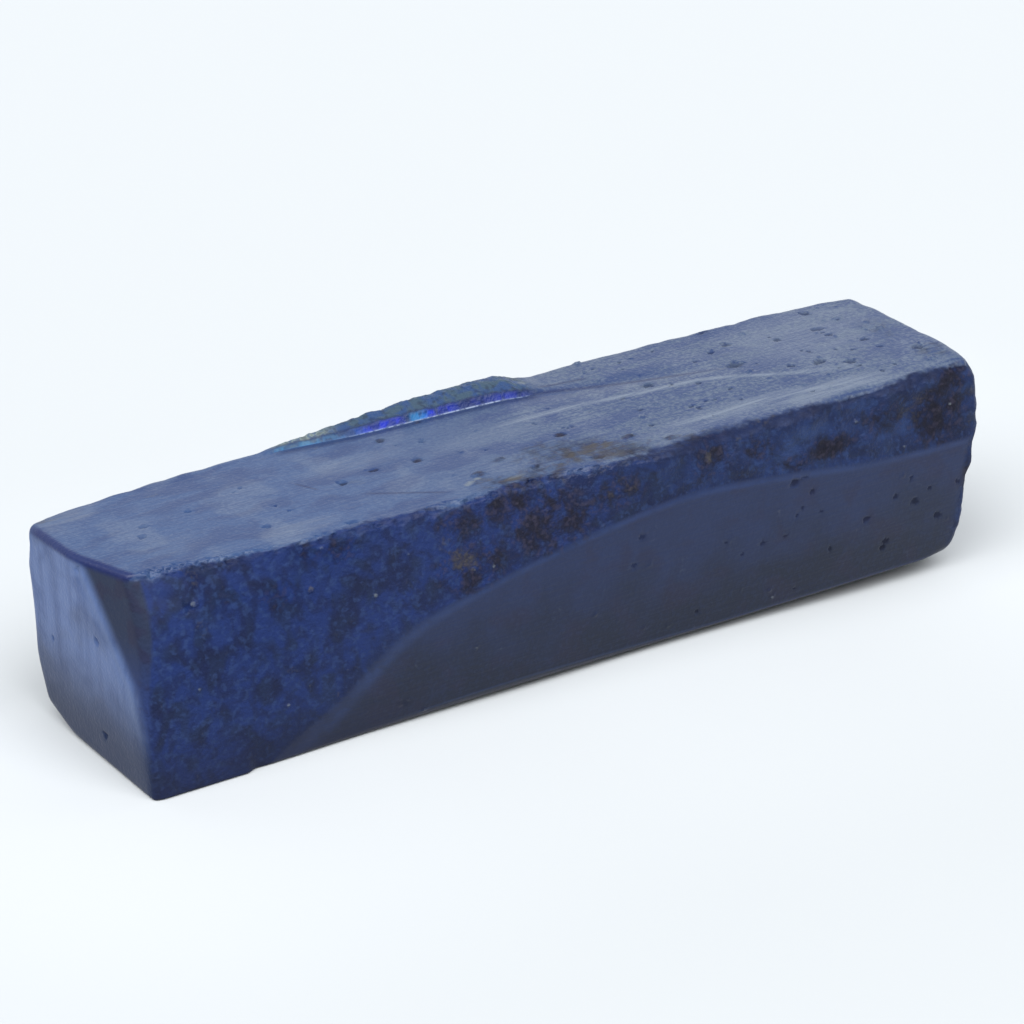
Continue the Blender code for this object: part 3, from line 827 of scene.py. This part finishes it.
def paint(tree, name, place, outward, reach, strength):
    """Strongest in the middle of a soft ellipse, which lies along the bar."""
    layer = STAIN_AND_SHEEN_LAYERS[name]
    place = on_surface(tree, place, outward)
    for position, index, _ in tree.find_range(place, max(reach)):
        vert = bar.verts[index]
        off = position - place
        across = (off - off.dot(outward) * outward - Vector((off.x, 0, 0))).length
        share = max(0.0, 1 - (off.x / reach[0]) ** 2 - (across / reach[1]) ** 2)
        if vert.normal.dot(outward) > 0.2:
            vert[layer] = max(vert[layer], strength * smooth(0.0, 1.0, share))


def paint_side(side, layers):
    place_of, outward = side
    for name, stains in layers.items():
        for *place, reach_along, reach_across, strength in stains:
            paint(tree, name, place_of(*place), outward, (reach_along, reach_across), strength)


tree = point_tree()
grains = [(x, z, radius * 1.3, radius * 1.1, GRAIN_PALE) for x, z, radius, _ in PALE_GRAINS]
paint_side(FRONT, {"brown": SKIN_BROWN, "ochre": SKIN_OCHRE, "light": SKIN_SHEEN_FACETS, "pale": grains})
paint_side(TOP, {"brown": TOP_BROWN, "ochre": TOP_OCHRE, "pale": TOP_PALE, "light": TOP_LIGHTER_AND_SHEEN_ZONES})
print("stains painted:", sorted(STAIN_AND_SHEEN_LAYERS))

# %% [markdown]
# ## Finished mesh
# The stone is moved so that the middle of its box lies over the origin, scaled from millimetres to
# metres, and written to a mesh. Faces that meet at more than a set angle keep a sharp edge.

# %% Finished mesh
SHARP_ANGLE = math.radians(50)


def finish_mesh():
    bmesh.ops.translate(bar, vec=-MIDDLE, verts=bar.verts)
    bmesh.ops.scale(bar, vec=(MM, MM, MM), verts=bar.verts)
    bmesh.ops.recalc_face_normals(bar, faces=bar.faces)
    bar.verts.layers.float_vector.remove(bar.verts.layers.float_vector["start"])
    mesh = bpy.data.meshes.new("stone")
    bar.to_mesh(mesh)
    bar.free()
    mesh.shade_smooth()
    mesh.set_sharp_from_angle(angle=SHARP_ANGLE)
    return in_scene("stone", mesh)


stone = finish_mesh()
stone.data.calc_loop_triangles()
print("stone:", len(stone.data.loop_triangles), "triangles")

# %% [markdown]
# ## Helpers for nodes
# A finish is a small graph. `put` adds a node and fills its inputs: a socket is linked, and anything
# else is set as a value. The others are short names for the nodes that are used most.

# %% Helpers for nodes
def put(tree, kind, inputs=(), **settings):
    node = tree.nodes.new(kind)
    for name, value in settings.items():
        setattr(node, name, value)
    for key, value in dict(inputs).items():
        if isinstance(value, bpy.types.NodeSocket):
            tree.links.new(value, node.inputs[key])
        else:
            node.inputs[key].default_value = value
    return node


def calculate(tree, operation, a, b=0.0):
    return put(tree, "ShaderNodeMath", {0: a, 1: b}, operation=operation).outputs[0]


def in_turn(operation):
    """A helper that takes any number of values, one after the other, through one operation."""
    def worked_out(tree, first, *others):
        for other in others:
            first = calculate(tree, operation, first, other)
        return first

    return worked_out


plus, times, most = in_turn("ADD"), in_turn("MULTIPLY"), in_turn("MAXIMUM")


def sway(tree, cloud, amount):
    """How far a cloud lies above or below its middle value, enlarged."""
    return times(tree, calculate(tree, "SUBTRACT", cloud, 0.5), amount)


def parts_of(tree, place):
    return put(tree, "ShaderNodeSeparateXYZ", {"Vector": place}).outputs


def fade(tree, value, low, high, start=0.0, end=1.0):
    inputs = {"Value": value, "From Min": low, "From Max": high, "To Min": start, "To Max": end}
    return put(tree, "ShaderNodeMapRange", inputs, interpolation_type="SMOOTHSTEP").outputs["Result"]


def blend_colours(tree, share, first, second):
    """A Mix node keeps its colours in sockets 6 and 7, and gives the result in 2."""
    blend = put(tree, "ShaderNodeMix", {0: share, 6: first, 7: second}, data_type="RGBA")
    return blend.outputs[2]


def blend_values(tree, share, first, second):
    """For plain numbers it uses sockets 2 and 3, and gives the result in 0."""
    return put(tree, "ShaderNodeMix", {0: share, 2: first, 3: second}).outputs[0]


def layered(tree, colour, *coats):
    """The colour with each (share, coat) laid over it in turn."""
    for share, coat in coats:
        colour = blend_colours(tree, share, colour, coat)
    return colour


def attribute(tree, name):
    return put(tree, "ShaderNodeAttribute", attribute_name=name).outputs["Fac"]


def start_material(name):
    material = bpy.data.materials.new(name)
    material.use_nodes = True
    return material, material.node_tree, material.node_tree.nodes["Principled BSDF"]


print("helpers ready")

# %% [markdown]
# ## Patterns
# The clouds are already stored on the mesh. Two finer patterns come from the finish itself, and each
# is a node group that works in millimetres: soft patches, and the streaks left by the wheel. Each
# pattern is worked out once and used for many things, which keeps a render quick.

# %% Patterns
def start_group(name, inputs):
    group = bpy.data.node_groups.new(name, "ShaderNodeTree")
    group.interface.new_socket("Place", in_out="INPUT", socket_type="NodeSocketVector")
    for label, value in inputs.items():
        socket = group.interface.new_socket(label, in_out="INPUT", socket_type="NodeSocketFloat")
        socket.default_value = value
    group.interface.new_socket("Mask", in_out="OUTPUT", socket_type="NodeSocketFloat")
    return group, group.nodes.new("NodeGroupInput").outputs, group.nodes.new("NodeGroupOutput").inputs


def noise_mask(group, place, scale, result):
    """Soft noise with its contrast raised, as the mask that the group puts out."""
    inputs = {"Vector": place, "Scale": scale, "Detail": 1.0, "Roughness": 0.6}
    cloud = put(group, "ShaderNodeTexNoise", inputs)
    group.links.new(fade(group, cloud.outputs["Fac"], 0.2, 0.8), result["Mask"])
    return group


def patches_group():
    group, given, result = start_group("patches", {"Size": 3.0})
    scale = calculate(group, "DIVIDE", 1.0, given["Size"])
    return noise_mask(group, given["Place"], scale, result)


def streaks_group():
    group, given, result = start_group("streaks", {"Length": 12.0, "Width": 0.4})
    sizes = (given["Length"], given["Width"], given["Width"])
    parts = zip(parts_of(group, given["Place"]), sizes)
    shrunk = [calculate(group, "DIVIDE", part, size) for part, size in parts]
    stretched = put(group, "ShaderNodeCombineXYZ", dict(enumerate(shrunk))).outputs["Vector"]
    return noise_mask(group, stretched, 1.0, result)


PATTERNS = {"patches": patches_group(), "streaks": streaks_group()}
print("patterns:", sorted(PATTERNS))


# %% Place a pattern
def pattern(tree, name, place, **values):
    node = put(tree, "ShaderNodeGroup", node_tree=PATTERNS[name])
    tree.links.new(place, node.inputs["Place"])
    for label, value in values.items():
        node.inputs[label].default_value = value
    return node.outputs["Mask"]


print("a pattern is placed with its sizes in millimetres")

# %% [markdown]
# ## Places and lines
# The patterns read the place on the stone in millimetres. A line is drawn from a stored distance, and
# a scratch from the distance to a straight line on the top.

# %% Places and lines
def place_in_mm(tree):
    place = put(tree, "ShaderNodeTexCoord").outputs["Object"]
    enlarged = put(tree, "ShaderNodeVectorMath", {0: place, "Scale": 1 / MM}, operation="SCALE")
    return enlarged.outputs["Vector"]


def turned_up(tree, place):
    """The same place with height first, so that lines drawn along the bar stand upright."""
    x, y, z = parts_of(tree, place)
    return put(tree, "ShaderNodeCombineXYZ", {"X": z, "Y": y, "Z": x}).outputs["Vector"]


def line(tree, distance, half_width, middle=0.0):
    off = calculate(tree, "ABSOLUTE", calculate(tree, "SUBTRACT", distance, middle))
    return fade(tree, off, half_width, 0.0)


def place_along(tree, place, direction, origin):
    """How far a place lies from the origin, both on the top, measured along a direction."""
    origin = Vector(origin) - MIDDLE.xy
    inputs = {0: place, 1: (direction.x, direction.y, 0.0)}
    reach = put(tree, "ShaderNodeVectorMath", inputs, operation="DOT_PRODUCT").outputs["Value"]
    return calculate(tree, "SUBTRACT", reach, direction.dot(origin))


def scratch(tree, place, first, second, half_width):
    run = Vector(second) - Vector(first)
    length = run.length
    off = place_along(tree, place, Vector((-run.y, run.x)) / length, first)
    on = place_along(tree, place, run / length, first)
    ends = times(tree, fade(tree, on, 0.0, length * 0.2), fade(tree, on, length, length * 0.8))
    return times(tree, line(tree, off, half_width), ends)


print("places and lines ready")

# %% [markdown]
# ## The sapphire finish
# Each side has its own blue, because each was worked or grown differently: the ground top is paler,
# the left end lavender, the ground front slate, and the skin deep and saturated. Over these lie
# broad clouds, fine streaks from the wheel, and then the stains. Painted light and shade lie over
# them too: highlights along the crest, the slope, ridges and edges, shade in the groove, under the
# ledge, in pits and towards the floor, and a painted glow along the ledge.

# %% Colours
TOP_LEFT = (0.023, 0.053, 0.138, 1.0)
TOP_RIGHT = (0.040, 0.063, 0.118, 1.0)
TOP_DEEP = (0.010, 0.028, 0.100, 1.0)
TOP_SHADE = (0.003, 0.010, 0.055, 1.0)
# A paler blue of the top, used for paler clouds and for painted highlights and sheen.
TOP_LIGHT_AND_SHEEN = (0.105, 0.132, 0.185, 1.0)
END_HIGH = (0.072, 0.118, 0.265, 1.0)
END_LOW = (0.003, 0.012, 0.048, 1.0)
END_LINE = (0.001, 0.007, 0.065, 1.0)
END_SHADE = (0.018, 0.045, 0.150, 1.0)
END_RIDGE_HIGHLIGHT = (0.090, 0.125, 0.225, 1.0)
FACET_OLIVE = (0.010, 0.017, 0.042, 1.0)
FACET_BLUE = (0.010, 0.024, 0.098, 1.0)
FRONT_HIGH = (0.007, 0.016, 0.058, 1.0)
FRONT_LOW = (0.003, 0.007, 0.022, 1.0)
FRONT_PURPLE = (0.010, 0.009, 0.030, 1.0)
SKIN_BLUE = (0.005, 0.017, 0.086, 1.0)
SKIN_SLATE = (0.008, 0.018, 0.050, 1.0)
SKIN_DARK = (0.002, 0.005, 0.025, 1.0)
# Light blue of painted highlight dabs on the skin.
SKIN_HIGHLIGHT_DAB = (0.016, 0.036, 0.110, 1.0)
BROWN = (0.005, 0.004, 0.009, 1.0)
FLECK = (0.030, 0.027, 0.050, 1.0)
OCHRE = (0.054, 0.050, 0.050, 1.0)
PALE = (0.120, 0.140, 0.165, 1.0)
LEDGE_GREY = (0.016, 0.043, 0.122, 1.0)
LEDGE_OLIVE = (0.030, 0.056, 0.082, 1.0)
LEDGE_CREAM = (0.170, 0.210, 0.200, 1.0)
# Blue of the painted highlight lines; a little of it also lightens the front's fine mottling.
RIM_HIGHLIGHT_BLUE = (0.014, 0.032, 0.105, 1.0)
# Colours of the painted glow along the ledge and of its painted glints.
GLOW_BLUE = (0.0, 0.008, 0.60, 1.0)
GLOW_CYAN = (0.02, 0.26, 0.52, 1.0)
SPARKLE = (0.55, 0.66, 0.85, 1.0)
BLACK = (0.0, 0.0, 0.0, 1.0)
print("top, right half:", TOP_RIGHT[:3])


# %% Colour of the top
SCRATCHES = (
    ((-18.6, -1.6), (-11.0, -6.3), 0.3),
    ((-22.3, 3.4), (-21.0, 0.9), 0.25),
    ((6.5, 8.6), (12.6, 7.7), 0.35),
)


def drawn_between(tree, value, from_none, from_full, to_full, to_none):
    """What `between` does, as nodes."""
    return times(tree, fade(tree, value, from_none, from_full), fade(tree, value, to_none, to_full))


# Dark lines on the top: painted shade in the groove, a painted shadow in front of the ledge's foot, and the
# scratches, which are wear.
def shade_and_scratch_lines(tree, place, masks, x):
    groove = line(tree, masks["beyond_groove"], 0.5)
    groove = times(tree, groove, drawn_between(tree, x, 3.5, 5.5, 18.0, 27.0))
    scratches = [scratch(tree, place, *ends) for ends in SCRATCHES]
    shadow_under_ledge = times(tree, line(tree, masks["beyond_foot"], 0.8, -0.4), masks["ledge"], 0.85)
    return most(tree, groove, shadow_under_ledge, *scratches)


# Painted highlights on the top: light lines along the crest and the front slope, and the lighter zones of the
# painted layer 'light', most of which are painted sheen.
def top_highlights(tree, masks, x):
    crest = line(tree, masks["beyond_crest"], 0.6)
    crest = times(tree, crest, drawn_between(tree, x, -4.0, 2.0, 26.0, 42.0))
    slope = line(tree, masks["beyond_slope"], 1.3)
    slope = times(tree, slope, drawn_between(tree, x, 9.0, 16.0, 33.0, 40.0))
    broken = fade(tree, masks["streaks"], 0.2, 0.8, 0.45, 1.0)
    return times(tree, most(tree, crest, slope, masks["light"]), broken)


def top_colour(tree, place, masks, x):
    coarse = fade(tree, x, -10.0, 15.0, 0.35, 0.75)
    return layered(
        tree, TOP_LEFT,
        (fade(tree, x, -25.0, 12.0), TOP_RIGHT),
        (times(tree, fade(tree, masks["cloud_long"], 0.45, 0.72), 0.75), TOP_DEEP),
        (fade(tree, masks["cloud_wide"], 0.5, 0.75, 0.0, 0.25), TOP_LIGHT_AND_SHEEN),
        (times(tree, fade(tree, masks["streaks"], 0.5, 0.95), coarse), TOP_DEEP),
        (times(tree, fade(tree, masks["fine"], 0.4, 0.9), coarse), TOP_DEEP),
        # Lighter grain, partly painted highlight ticks on the fine relief.
        (times(tree, fade(tree, masks["fine"], 0.35, 0.1), coarse, 0.4), TOP_LIGHT_AND_SHEEN),
        (top_highlights(tree, masks, x), TOP_LIGHT_AND_SHEEN),
        (times(tree, shade_and_scratch_lines(tree, place, masks, x), 0.7), TOP_SHADE),
    )


print("scratches on the top:", len(SCRATCHES))


# %% Colour of the left end
def end_colour(tree, place, masks):
    _, y, z = parts_of(tree, place)
    band = times(tree, line(tree, y, 1.2, 4.2), fade(tree, z, 3.0, 7.0), 0.4)
    upright = pattern(tree, "streaks", turned_up(tree, place), Length=9.0, Width=0.9)
    # A painted highlight along the soft ridge between the ground end and the facet.
    ridge = line(tree, masks["facet_gap"], 0.3, -0.18)
    facet = layered(
        tree, FACET_OLIVE,
        (fade(tree, z, 15.0, 7.0), FACET_BLUE),
        (fade(tree, masks["cloud_small"], 0.5, 0.75, 0.0, 0.5), FRONT_PURPLE),
    )
    return layered(
        tree, END_HIGH,
        (band, END_SHADE),
        (fade(tree, masks["cloud_middle"], 0.5, 0.8, 0.0, 0.5), END_SHADE),
        (fade(tree, masks["cloud_wide"], 0.5, 0.9, 0.0, 0.4), END_LOW),
        (fade(tree, upright, 0.4, 1.0, 0.0, 0.35), END_SHADE),
        # Painted shade: the end grows darker towards the floor.
        (fade(tree, z, 12.0, 2.0), END_LOW),
        (times(tree, ridge, fade(tree, z, 3.0, 8.0), 0.45), END_RIDGE_HIGHLIGHT),
        (fade(tree, masks["facet_gap"], -0.1, 0.5), facet),
    )


def end_edge(tree, masks, y):
    along_edge = times(tree, fade(tree, y, -9.5, -5.5), fade(tree, y, 9.5, 6.5))
    return times(tree, fade(tree, masks["from_left_edge"], 0.9, 0.3), along_edge)


print("left end coloured")


# %% Colour of the front
def front_colour(tree, masks, z):
    height = plus(tree, z, sway(tree, masks["cloud_wide"], 6.0))
    return layered(
        tree, FRONT_HIGH,
        # Painted shade: the ground front grows darker towards the floor.
        (fade(tree, height, 12.0, 1.0), FRONT_LOW),
        (fade(tree, masks["cloud_middle"], 0.5, 0.8, 0.0, 0.35), FRONT_PURPLE),
        (fade(tree, masks["fine"], 0.4, 1.0, 0.0, 0.12), RIM_HIGHLIGHT_BLUE),
    )


def skin_colour(tree, masks, x):
    return layered(
        tree, SKIN_BLUE,
        (fade(tree, x, -12.0, 18.0, 0.0, 0.45), SKIN_SLATE),
        (fade(tree, masks["cloud_middle"], 0.4, 0.7, 0.0, 0.7), SKIN_DARK),
        (fade(tree, masks["cloud_small"], 0.45, 0.8, 0.0, 0.5), SKIN_SLATE),
        (fade(tree, masks["patches"], 0.35, 0.85, 0.0, 0.5), SKIN_DARK),
        # Painted highlight dabs, where glossy bumps of the skin catch the light.
        (fade(tree, masks["small_patches"], 0.5, 1.0, 0.0, 0.5), SKIN_HIGHLIGHT_DAB),
    )


def skin_share_of(tree, masks, x):
    softness = fade(tree, x, -26.0, -13.0, 2.2, 0.18)
    shift = times(tree, sway(tree, masks["cloud_small"], 1.6), softness)
    over = plus(tree, masks["over_skin_line"], shift)
    return times(tree, masks["front"], fade(tree, over, times(tree, softness, -1.0), softness))


# A painted highlight along the rounded crease where the skin starts.
def skin_line_highlight(tree, masks, x):
    width = fade(tree, x, -30.0, -8.0, 1.8, 0.55)
    off = plus(tree, masks["over_skin_line"], times(tree, width, 0.7))
    off = calculate(tree, "ABSOLUTE", off)
    rim = times(tree, masks["front"], fade(tree, off, width, 0.0), fade(tree, x, -36.0, -26.0))
    return times(tree, rim, fade(tree, masks["cloud_small"], 0.3, 0.6, 0.55, 1.0))


print("front and skin coloured")


# %% Ledge and stains
def ledge_colour(tree, masks, x):
    mixed = plus(tree, *(times(tree, masks[name], 0.5) for name in ("patches", "cloud_small")))
    grains = fade(tree, masks["small_patches"], 0.3, 0.7, 0.3, 0.9)
    return layered(
        tree, LEDGE_GREY,
        (fade(tree, mixed, 0.35, 0.65, 0.0, 0.85), LEDGE_OLIVE),
        (times(tree, fade(tree, x, -13.5, -17.0), grains), LEDGE_CREAM),
        (fade(tree, masks["small_patches"], 0.45, 1.0, 0.0, 0.5), SKIN_DARK),
        # Painted shade on the lower wall of the ledge, beside its painted glow.
        (fade(tree, masks["beyond_foot"], 0.9, 0.4, 0.0, 0.7), TOP_SHADE),
    )


SPRINKLE = {"brown": 0.4, "ochre": 0.3, "pale": 0.3}  # how much of it follows the patches
SPRINKLE_PATTERN = 0.7
SPRINKLE_FROM, SPRINKLE_FULL = 0.8, 1.65


def sprinkled(tree, mask, masks, share):
    """Colour that covers more of a place where the painted mask is stronger."""
    fine = blend_values(tree, masks["top"], masks["fine"], masks["streaks"])
    patches = times(tree, masks["patches"], share)
    fine = times(tree, fine, SPRINKLE_PATTERN - share)
    cloud = plus(tree, patches, fine, fade(tree, masks["cloud_small"], 0.3, 0.7, 0.0, 0.3), mask)
    return fade(tree, cloud, SPRINKLE_FROM, SPRINKLE_FULL)


def stained(tree, masks, colour):
    stains = {name: sprinkled(tree, masks[name], masks, share) for name, share in SPRINKLE.items()}
    flecks = fade(tree, masks["small_patches"], 0.5, 0.0)
    pit_dirt_and_shade = fade(tree, masks["x"], -5.0, 15.0, 0.1, 0.4)
    return layered(
        tree, colour,
        (times(tree, stains["brown"], 0.85), BROWN),
        (times(tree, flecks, fade(tree, masks["brown"], 0.1, 0.7), 0.5), FLECK),
        (times(tree, stains["ochre"], 0.75), OCHRE),
        (times(tree, stains["pale"], 0.8), PALE),
        # Pits are darkened with the stain brown, as dirt in them and as painted shade in the hollows, more so
        # on the right.
        (times(tree, masks["pit"], pit_dirt_and_shade), BROWN),
    )


print("ledge and stains coloured")


# %% Colour of the whole stone
# Painted shade on the downward bevel along the base of the front, and a painted highlight along the bevel's
# top edge.
def base_bevel_shade_and_highlight(tree, masks, x, colour):
    ends = times(tree, fade(tree, x, -26.0, -14.0), masks["front"])
    return layered(
        tree, colour,
        (times(tree, fade(tree, masks["over_bevel"], 0.05, -0.15), ends, 0.5), SKIN_DARK),
        (times(tree, line(tree, masks["over_bevel"], 0.2, 0.05), ends, 0.35), RIM_HIGHLIGHT_BLUE),
    )


def stone_colour(tree, place, masks):
    x, y, z = parts_of(tree, place)
    skin = skin_colour(tree, masks, x)
    front = layered(
        tree, front_colour(tree, masks, z),
        (masks["skin"], skin),
        (times(tree, skin_line_highlight(tree, masks, x), 0.6), RIM_HIGHLIGHT_BLUE),
        # Painted sheen: the lighter skin facets take the highlight blue of the skin's dabs.
        (times(tree, masks["light"], masks["skin"], 0.8), SKIN_HIGHLIGHT_DAB),
    )
    low_left = times(tree, fade(tree, x, -12.0, -24.0), fade(tree, z, 6.0, 0.0), 0.6)
    sides = layered(
        tree, base_bevel_shade_and_highlight(tree, masks, x, front),
        # Painted shade: the worn strip along the right half of the front top edge is darker, since it faces
        # the dark front. The lower left of the front is darker near the base.
        (most(tree, low_left, times(tree, masks["strip"], 0.55)), SKIN_DARK),
        (most(tree, masks["back"], masks["right"]), skin),
        (masks["left"], end_colour(tree, place, masks)),
        (masks["top"], top_colour(tree, place, masks, x)),
        (times(tree, end_edge(tree, masks, y), 0.85), END_LINE),
        (masks["behind_foot"], ledge_colour(tree, masks, x)),
    )
    return stained(tree, masks, sides)


# The glow is painted light: an emission that stands in for light shining through the thin ledge, with painted
# glints along its foot.
def stone_glow(tree, masks):
    glow = blend_colours(tree, masks["cyan"], GLOW_BLUE, GLOW_CYAN)
    band = drawn_between(tree, masks["beyond_foot"], 0.0, 0.08, 0.2, 0.55)
    wall = times(tree, masks["glow"], band, fade(tree, masks["patches"], 0.3, 0.6, 0.35, 1.0))
    colour = blend_colours(tree, wall, BLACK, glow)
    sparks = fade(tree, masks["fine"], 0.2, 0.65, 0.05, 1.0)
    foot = times(tree, line(tree, masks["beyond_foot"], 0.08, 0.02), masks["spark"], sparks)
    return blend_colours(tree, times(tree, foot, 0.65), colour, SPARKLE)


print("colour and glow written")


# %% Gloss and grain
SATIN_ROUGHNESS = 0.42
SKIN_ROUGHNESS = 0.48
GROUND_POLISH = 0.30
SKIN_POLISH = 0.10
GLOW_STRENGTH = 0.9
BODY_IOR = 1.3
POLISH_ROUGHNESS = 0.4
DULL_EXTRA, MATT_EXTRA = 0.25, 0.38
BUMP_STRENGTH, BUMP_DEPTH = 0.5, 0.15


def dull_share(tree, masks):
    return most(tree, masks["brown"], masks["ochre"], masks["pit"])


def stone_polish(tree, masks):
    polish = fade(tree, masks["rough"], 0.0, 1.0, GROUND_POLISH, SKIN_POLISH)
    return times(tree, polish, fade(tree, dull_share(tree, masks), 0.0, 1.0, 1.0, 0.0))


def stone_roughness(tree, masks):
    base = fade(tree, masks["rough"], 0.0, 1.0, SATIN_ROUGHNESS, SKIN_ROUGHNESS)
    dull = times(tree, dull_share(tree, masks), DULL_EXTRA)
    height = fade(tree, masks["over_skin_line"], 0.0, 13.0, 0.4, 1.0)
    matt = times(tree, masks["rough"], fade(tree, masks["x"], -8.0, -28.0), height)
    matt = times(tree, most(tree, matt, masks["strip"]), MATT_EXTRA)
    return plus(tree, base, dull, matt, sway(tree, masks["cloud_small"], 0.12))


def stone_bump(tree, masks):
    smooth_share = calculate(tree, "SUBTRACT", 1.0, masks["rough"])
    lines = times(tree, masks["streaks"], smooth_share, 0.25)
    coarse = times(tree, masks["top"], fade(tree, masks["x"], -10.0, 15.0, 0.15, 0.45))
    rough = fade(tree, masks["rough"], 0.0, 1.0, 0.15, 0.7)
    fine = times(tree, masks["fine"], plus(tree, coarse, rough))
    inputs = {"Height": plus(tree, lines, fine), "Strength": BUMP_STRENGTH, "Distance": BUMP_DEPTH * MM}
    return put(tree, "ShaderNodeBump", inputs).outputs["Normal"]


print("gloss and grain written")

# %% Sapphire finish
PAINTED = ("pit", "brown", "ochre", "pale", "light")


def all_masks(tree, place):
    masks = {name: attribute(tree, name) for name in SHARES + DISTANCES + PAINTED + tuple(CLOUDS)}
    masks["small_patches"] = pattern(tree, "patches", place, Size=0.6)
    masks["fine"] = pattern(tree, "patches", place, Size=0.36)
    masks["streaks"] = pattern(tree, "streaks", place, Length=7.0, Width=0.32)
    masks["x"] = parts_of(tree, place)["X"]
    masks["skin"] = skin_share_of(tree, masks, masks["x"])
    masks["behind_foot"] = times(tree, masks["ledge"], fade(tree, masks["beyond_foot"], 0.0, 0.2))
    return masks


def sapphire_finish():
    material, tree, shader = start_material("rough_sapphire")
    place = place_in_mm(tree)
    masks = all_masks(tree, place)
    looks = {
        "Base Color": stone_colour(tree, place, masks),
        "Emission Color": stone_glow(tree, masks),
        "Roughness": stone_roughness(tree, masks),
        "Coat Weight": stone_polish(tree, masks),
        "Normal": stone_bump(tree, masks),
    }
    for name, look in looks.items():
        tree.links.new(look, shader.inputs[name])
    shader.inputs["Emission Strength"].default_value = GLOW_STRENGTH
    shader.inputs["IOR"].default_value = BODY_IOR
    shader.inputs["Coat Roughness"].default_value = POLISH_ROUGHNESS
    material.cycles.emission_sampling = "NONE"  # the glow is too faint to light anything else
    return material


stone.data.materials.append(sapphire_finish())
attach(stone, "root")
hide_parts(NODE)
print("stone finished:", stone.data.materials[0].name)

# %% [markdown]
# ## Floor
# The stone lies on a plain pale sheet. It is much larger than the stone, so that no edge of it shows
# from any side. It sags a little under the right half, where a soft wedge of shadow shows under the
# front edge. Its colour is painted paler close to the stone: painted light that fills the stone's soft
# shadows.

# %% Floor
FLOOR_SIZE = 6.0
FLOOR_DROP = 0.02 * MM
DIP_SIZE = 0.4
DIP_SLICES = 160
DIP_ALONG = ((-24, 0.0), (-14, 0.3), (-6, 0.5), (6, 0.5), (18, 0.8),
             (32, 1.5), (42, 1.7), (50, 1.7), (110, 0.0))
# Painted fill light: the paler colour of the sheet close to the stone.
FLOOR_FILL_LIGHT = (0.473, 0.495, 0.514, 1.0)
FLOOR_PALE = (0.436, 0.457, 0.474, 1.0)


def dip(point):
    return along(DIP_ALONG, point.x) * (1 - smooth(15.0, 90.0, abs(point.y)))


def nearness(point):
    """1 beside the stone and 0 well away from it."""
    beside = max(abs(point.x) - HALF.x - 1, 0.0)
    before = max(abs(point.y) - HALF.y - 1, 0.0)
    return 1 - smooth(4.0, 45.0, math.hypot(beside, before))


def make_floor():
    sheet = bmesh.new()
    bmesh.ops.create_grid(sheet, x_segments=3, y_segments=3, size=FLOOR_SIZE / 2)
    for vert in sheet.verts:
        for axis in (0, 1):
            if abs(vert.co[axis]) < FLOOR_SIZE / 4:
                vert.co[axis] = math.copysign(DIP_SIZE / 2, vert.co[axis])
    middle = [face for face in sheet.faces if face.calc_center_median().length < 0.1]
    edges = [edge for face in middle for edge in face.edges]
    bmesh.ops.subdivide_edges(sheet, edges=edges, cuts=DIP_SLICES - 1, use_grid_fill=True)
    near = sheet.verts.layers.float.new("near")
    for vert in sheet.verts:
        vert.co.z = -FLOOR_DROP - dip(vert.co / MM) * MM
        vert[near] = nearness(vert.co / MM)
    mesh = bpy.data.meshes.new("floor")
    sheet.to_mesh(mesh)
    sheet.free()
    floor = in_scene("floor", mesh)
    mesh.shade_smooth()
    material, tree, shader = start_material("floor_pale")
    colour = blend_colours(tree, attribute(tree, "near"), FLOOR_PALE, FLOOR_FILL_LIGHT)
    tree.links.new(colour, shader.inputs["Base Color"])
    shader.inputs["Roughness"].default_value = 1.0
    shader.inputs["IOR"].default_value = 1.0
    mesh.materials.append(material)
    return floor


make_floor()
print("floor:", FLOOR_SIZE, "m wide")

# %% [markdown]
# ## Light
# Two very wide soft lamps stand high at the front, left and right, so the front of the floor has no
# shadow and only soft ones show at the two ends. The world is a tent: white at the back, where the
# top of the stone mirrors it, dimmer overhead and almost dark at the front.

# %% Light
TENT_WHITE = (0.95, 0.98, 1.0, 1.0)
BACKDROP = (0.871, 0.913, 0.947, 1.0)
TENT_BACK, TENT_OVERHEAD, TENT_FRONT = 1.15, 0.5, 0.12
BACK_SIDE = Vector((0.54, 0.84, 0.0))
LAMP_STRENGTH = 3.1
LAMP_WIDTH = math.radians(50)
LAMP_HEIGHT = math.radians(52)
LAMP_TURNS = (math.radians(-75), math.radians(10))


def light_world():
    world = bpy.data.worlds.new("tent")
    bpy.context.scene.world = world
    world.use_nodes = True
    tree = world.node_tree
    direction = put(tree, "ShaderNodeTexCoord").outputs["Generated"]
    facing = put(tree, "ShaderNodeVectorMath", {0: direction, 1: BACK_SIDE}, operation="DOT_PRODUCT")
    height = parts_of(tree, direction)["Z"]
    behind = fade(tree, facing.outputs["Value"], -0.1, 0.4, TENT_FRONT, TENT_BACK)
    overhead = fade(tree, height, 0.55, 0.8)
    level = blend_values(tree, overhead, behind, TENT_OVERHEAD)
    tent = put(tree, "ShaderNodeVectorMath", {0: TENT_WHITE[:3], "Scale": level}, operation="SCALE")
    seen = put(tree, "ShaderNodeLightPath").outputs["Is Camera Ray"]
    colour = blend_colours(tree, seen, tent.outputs["Vector"], BACKDROP)
    tree.links.new(colour, tree.nodes["Background"].inputs["Color"])


def light_lamps():
    for number, turn in enumerate(LAMP_TURNS):
        data = bpy.data.lights.new(f"soft_lamp_{number}", "SUN")
        data.angle = LAMP_WIDTH
        data.energy = LAMP_STRENGTH
        lamp = in_scene(f"soft_lamp_{number}", data)
        lamp.rotation_euler = (math.pi / 2 - LAMP_HEIGHT, 0, turn)


light_world()
light_lamps()
bpy.context.scene.view_settings.view_transform = "Standard"
print("tent and lamps lit")
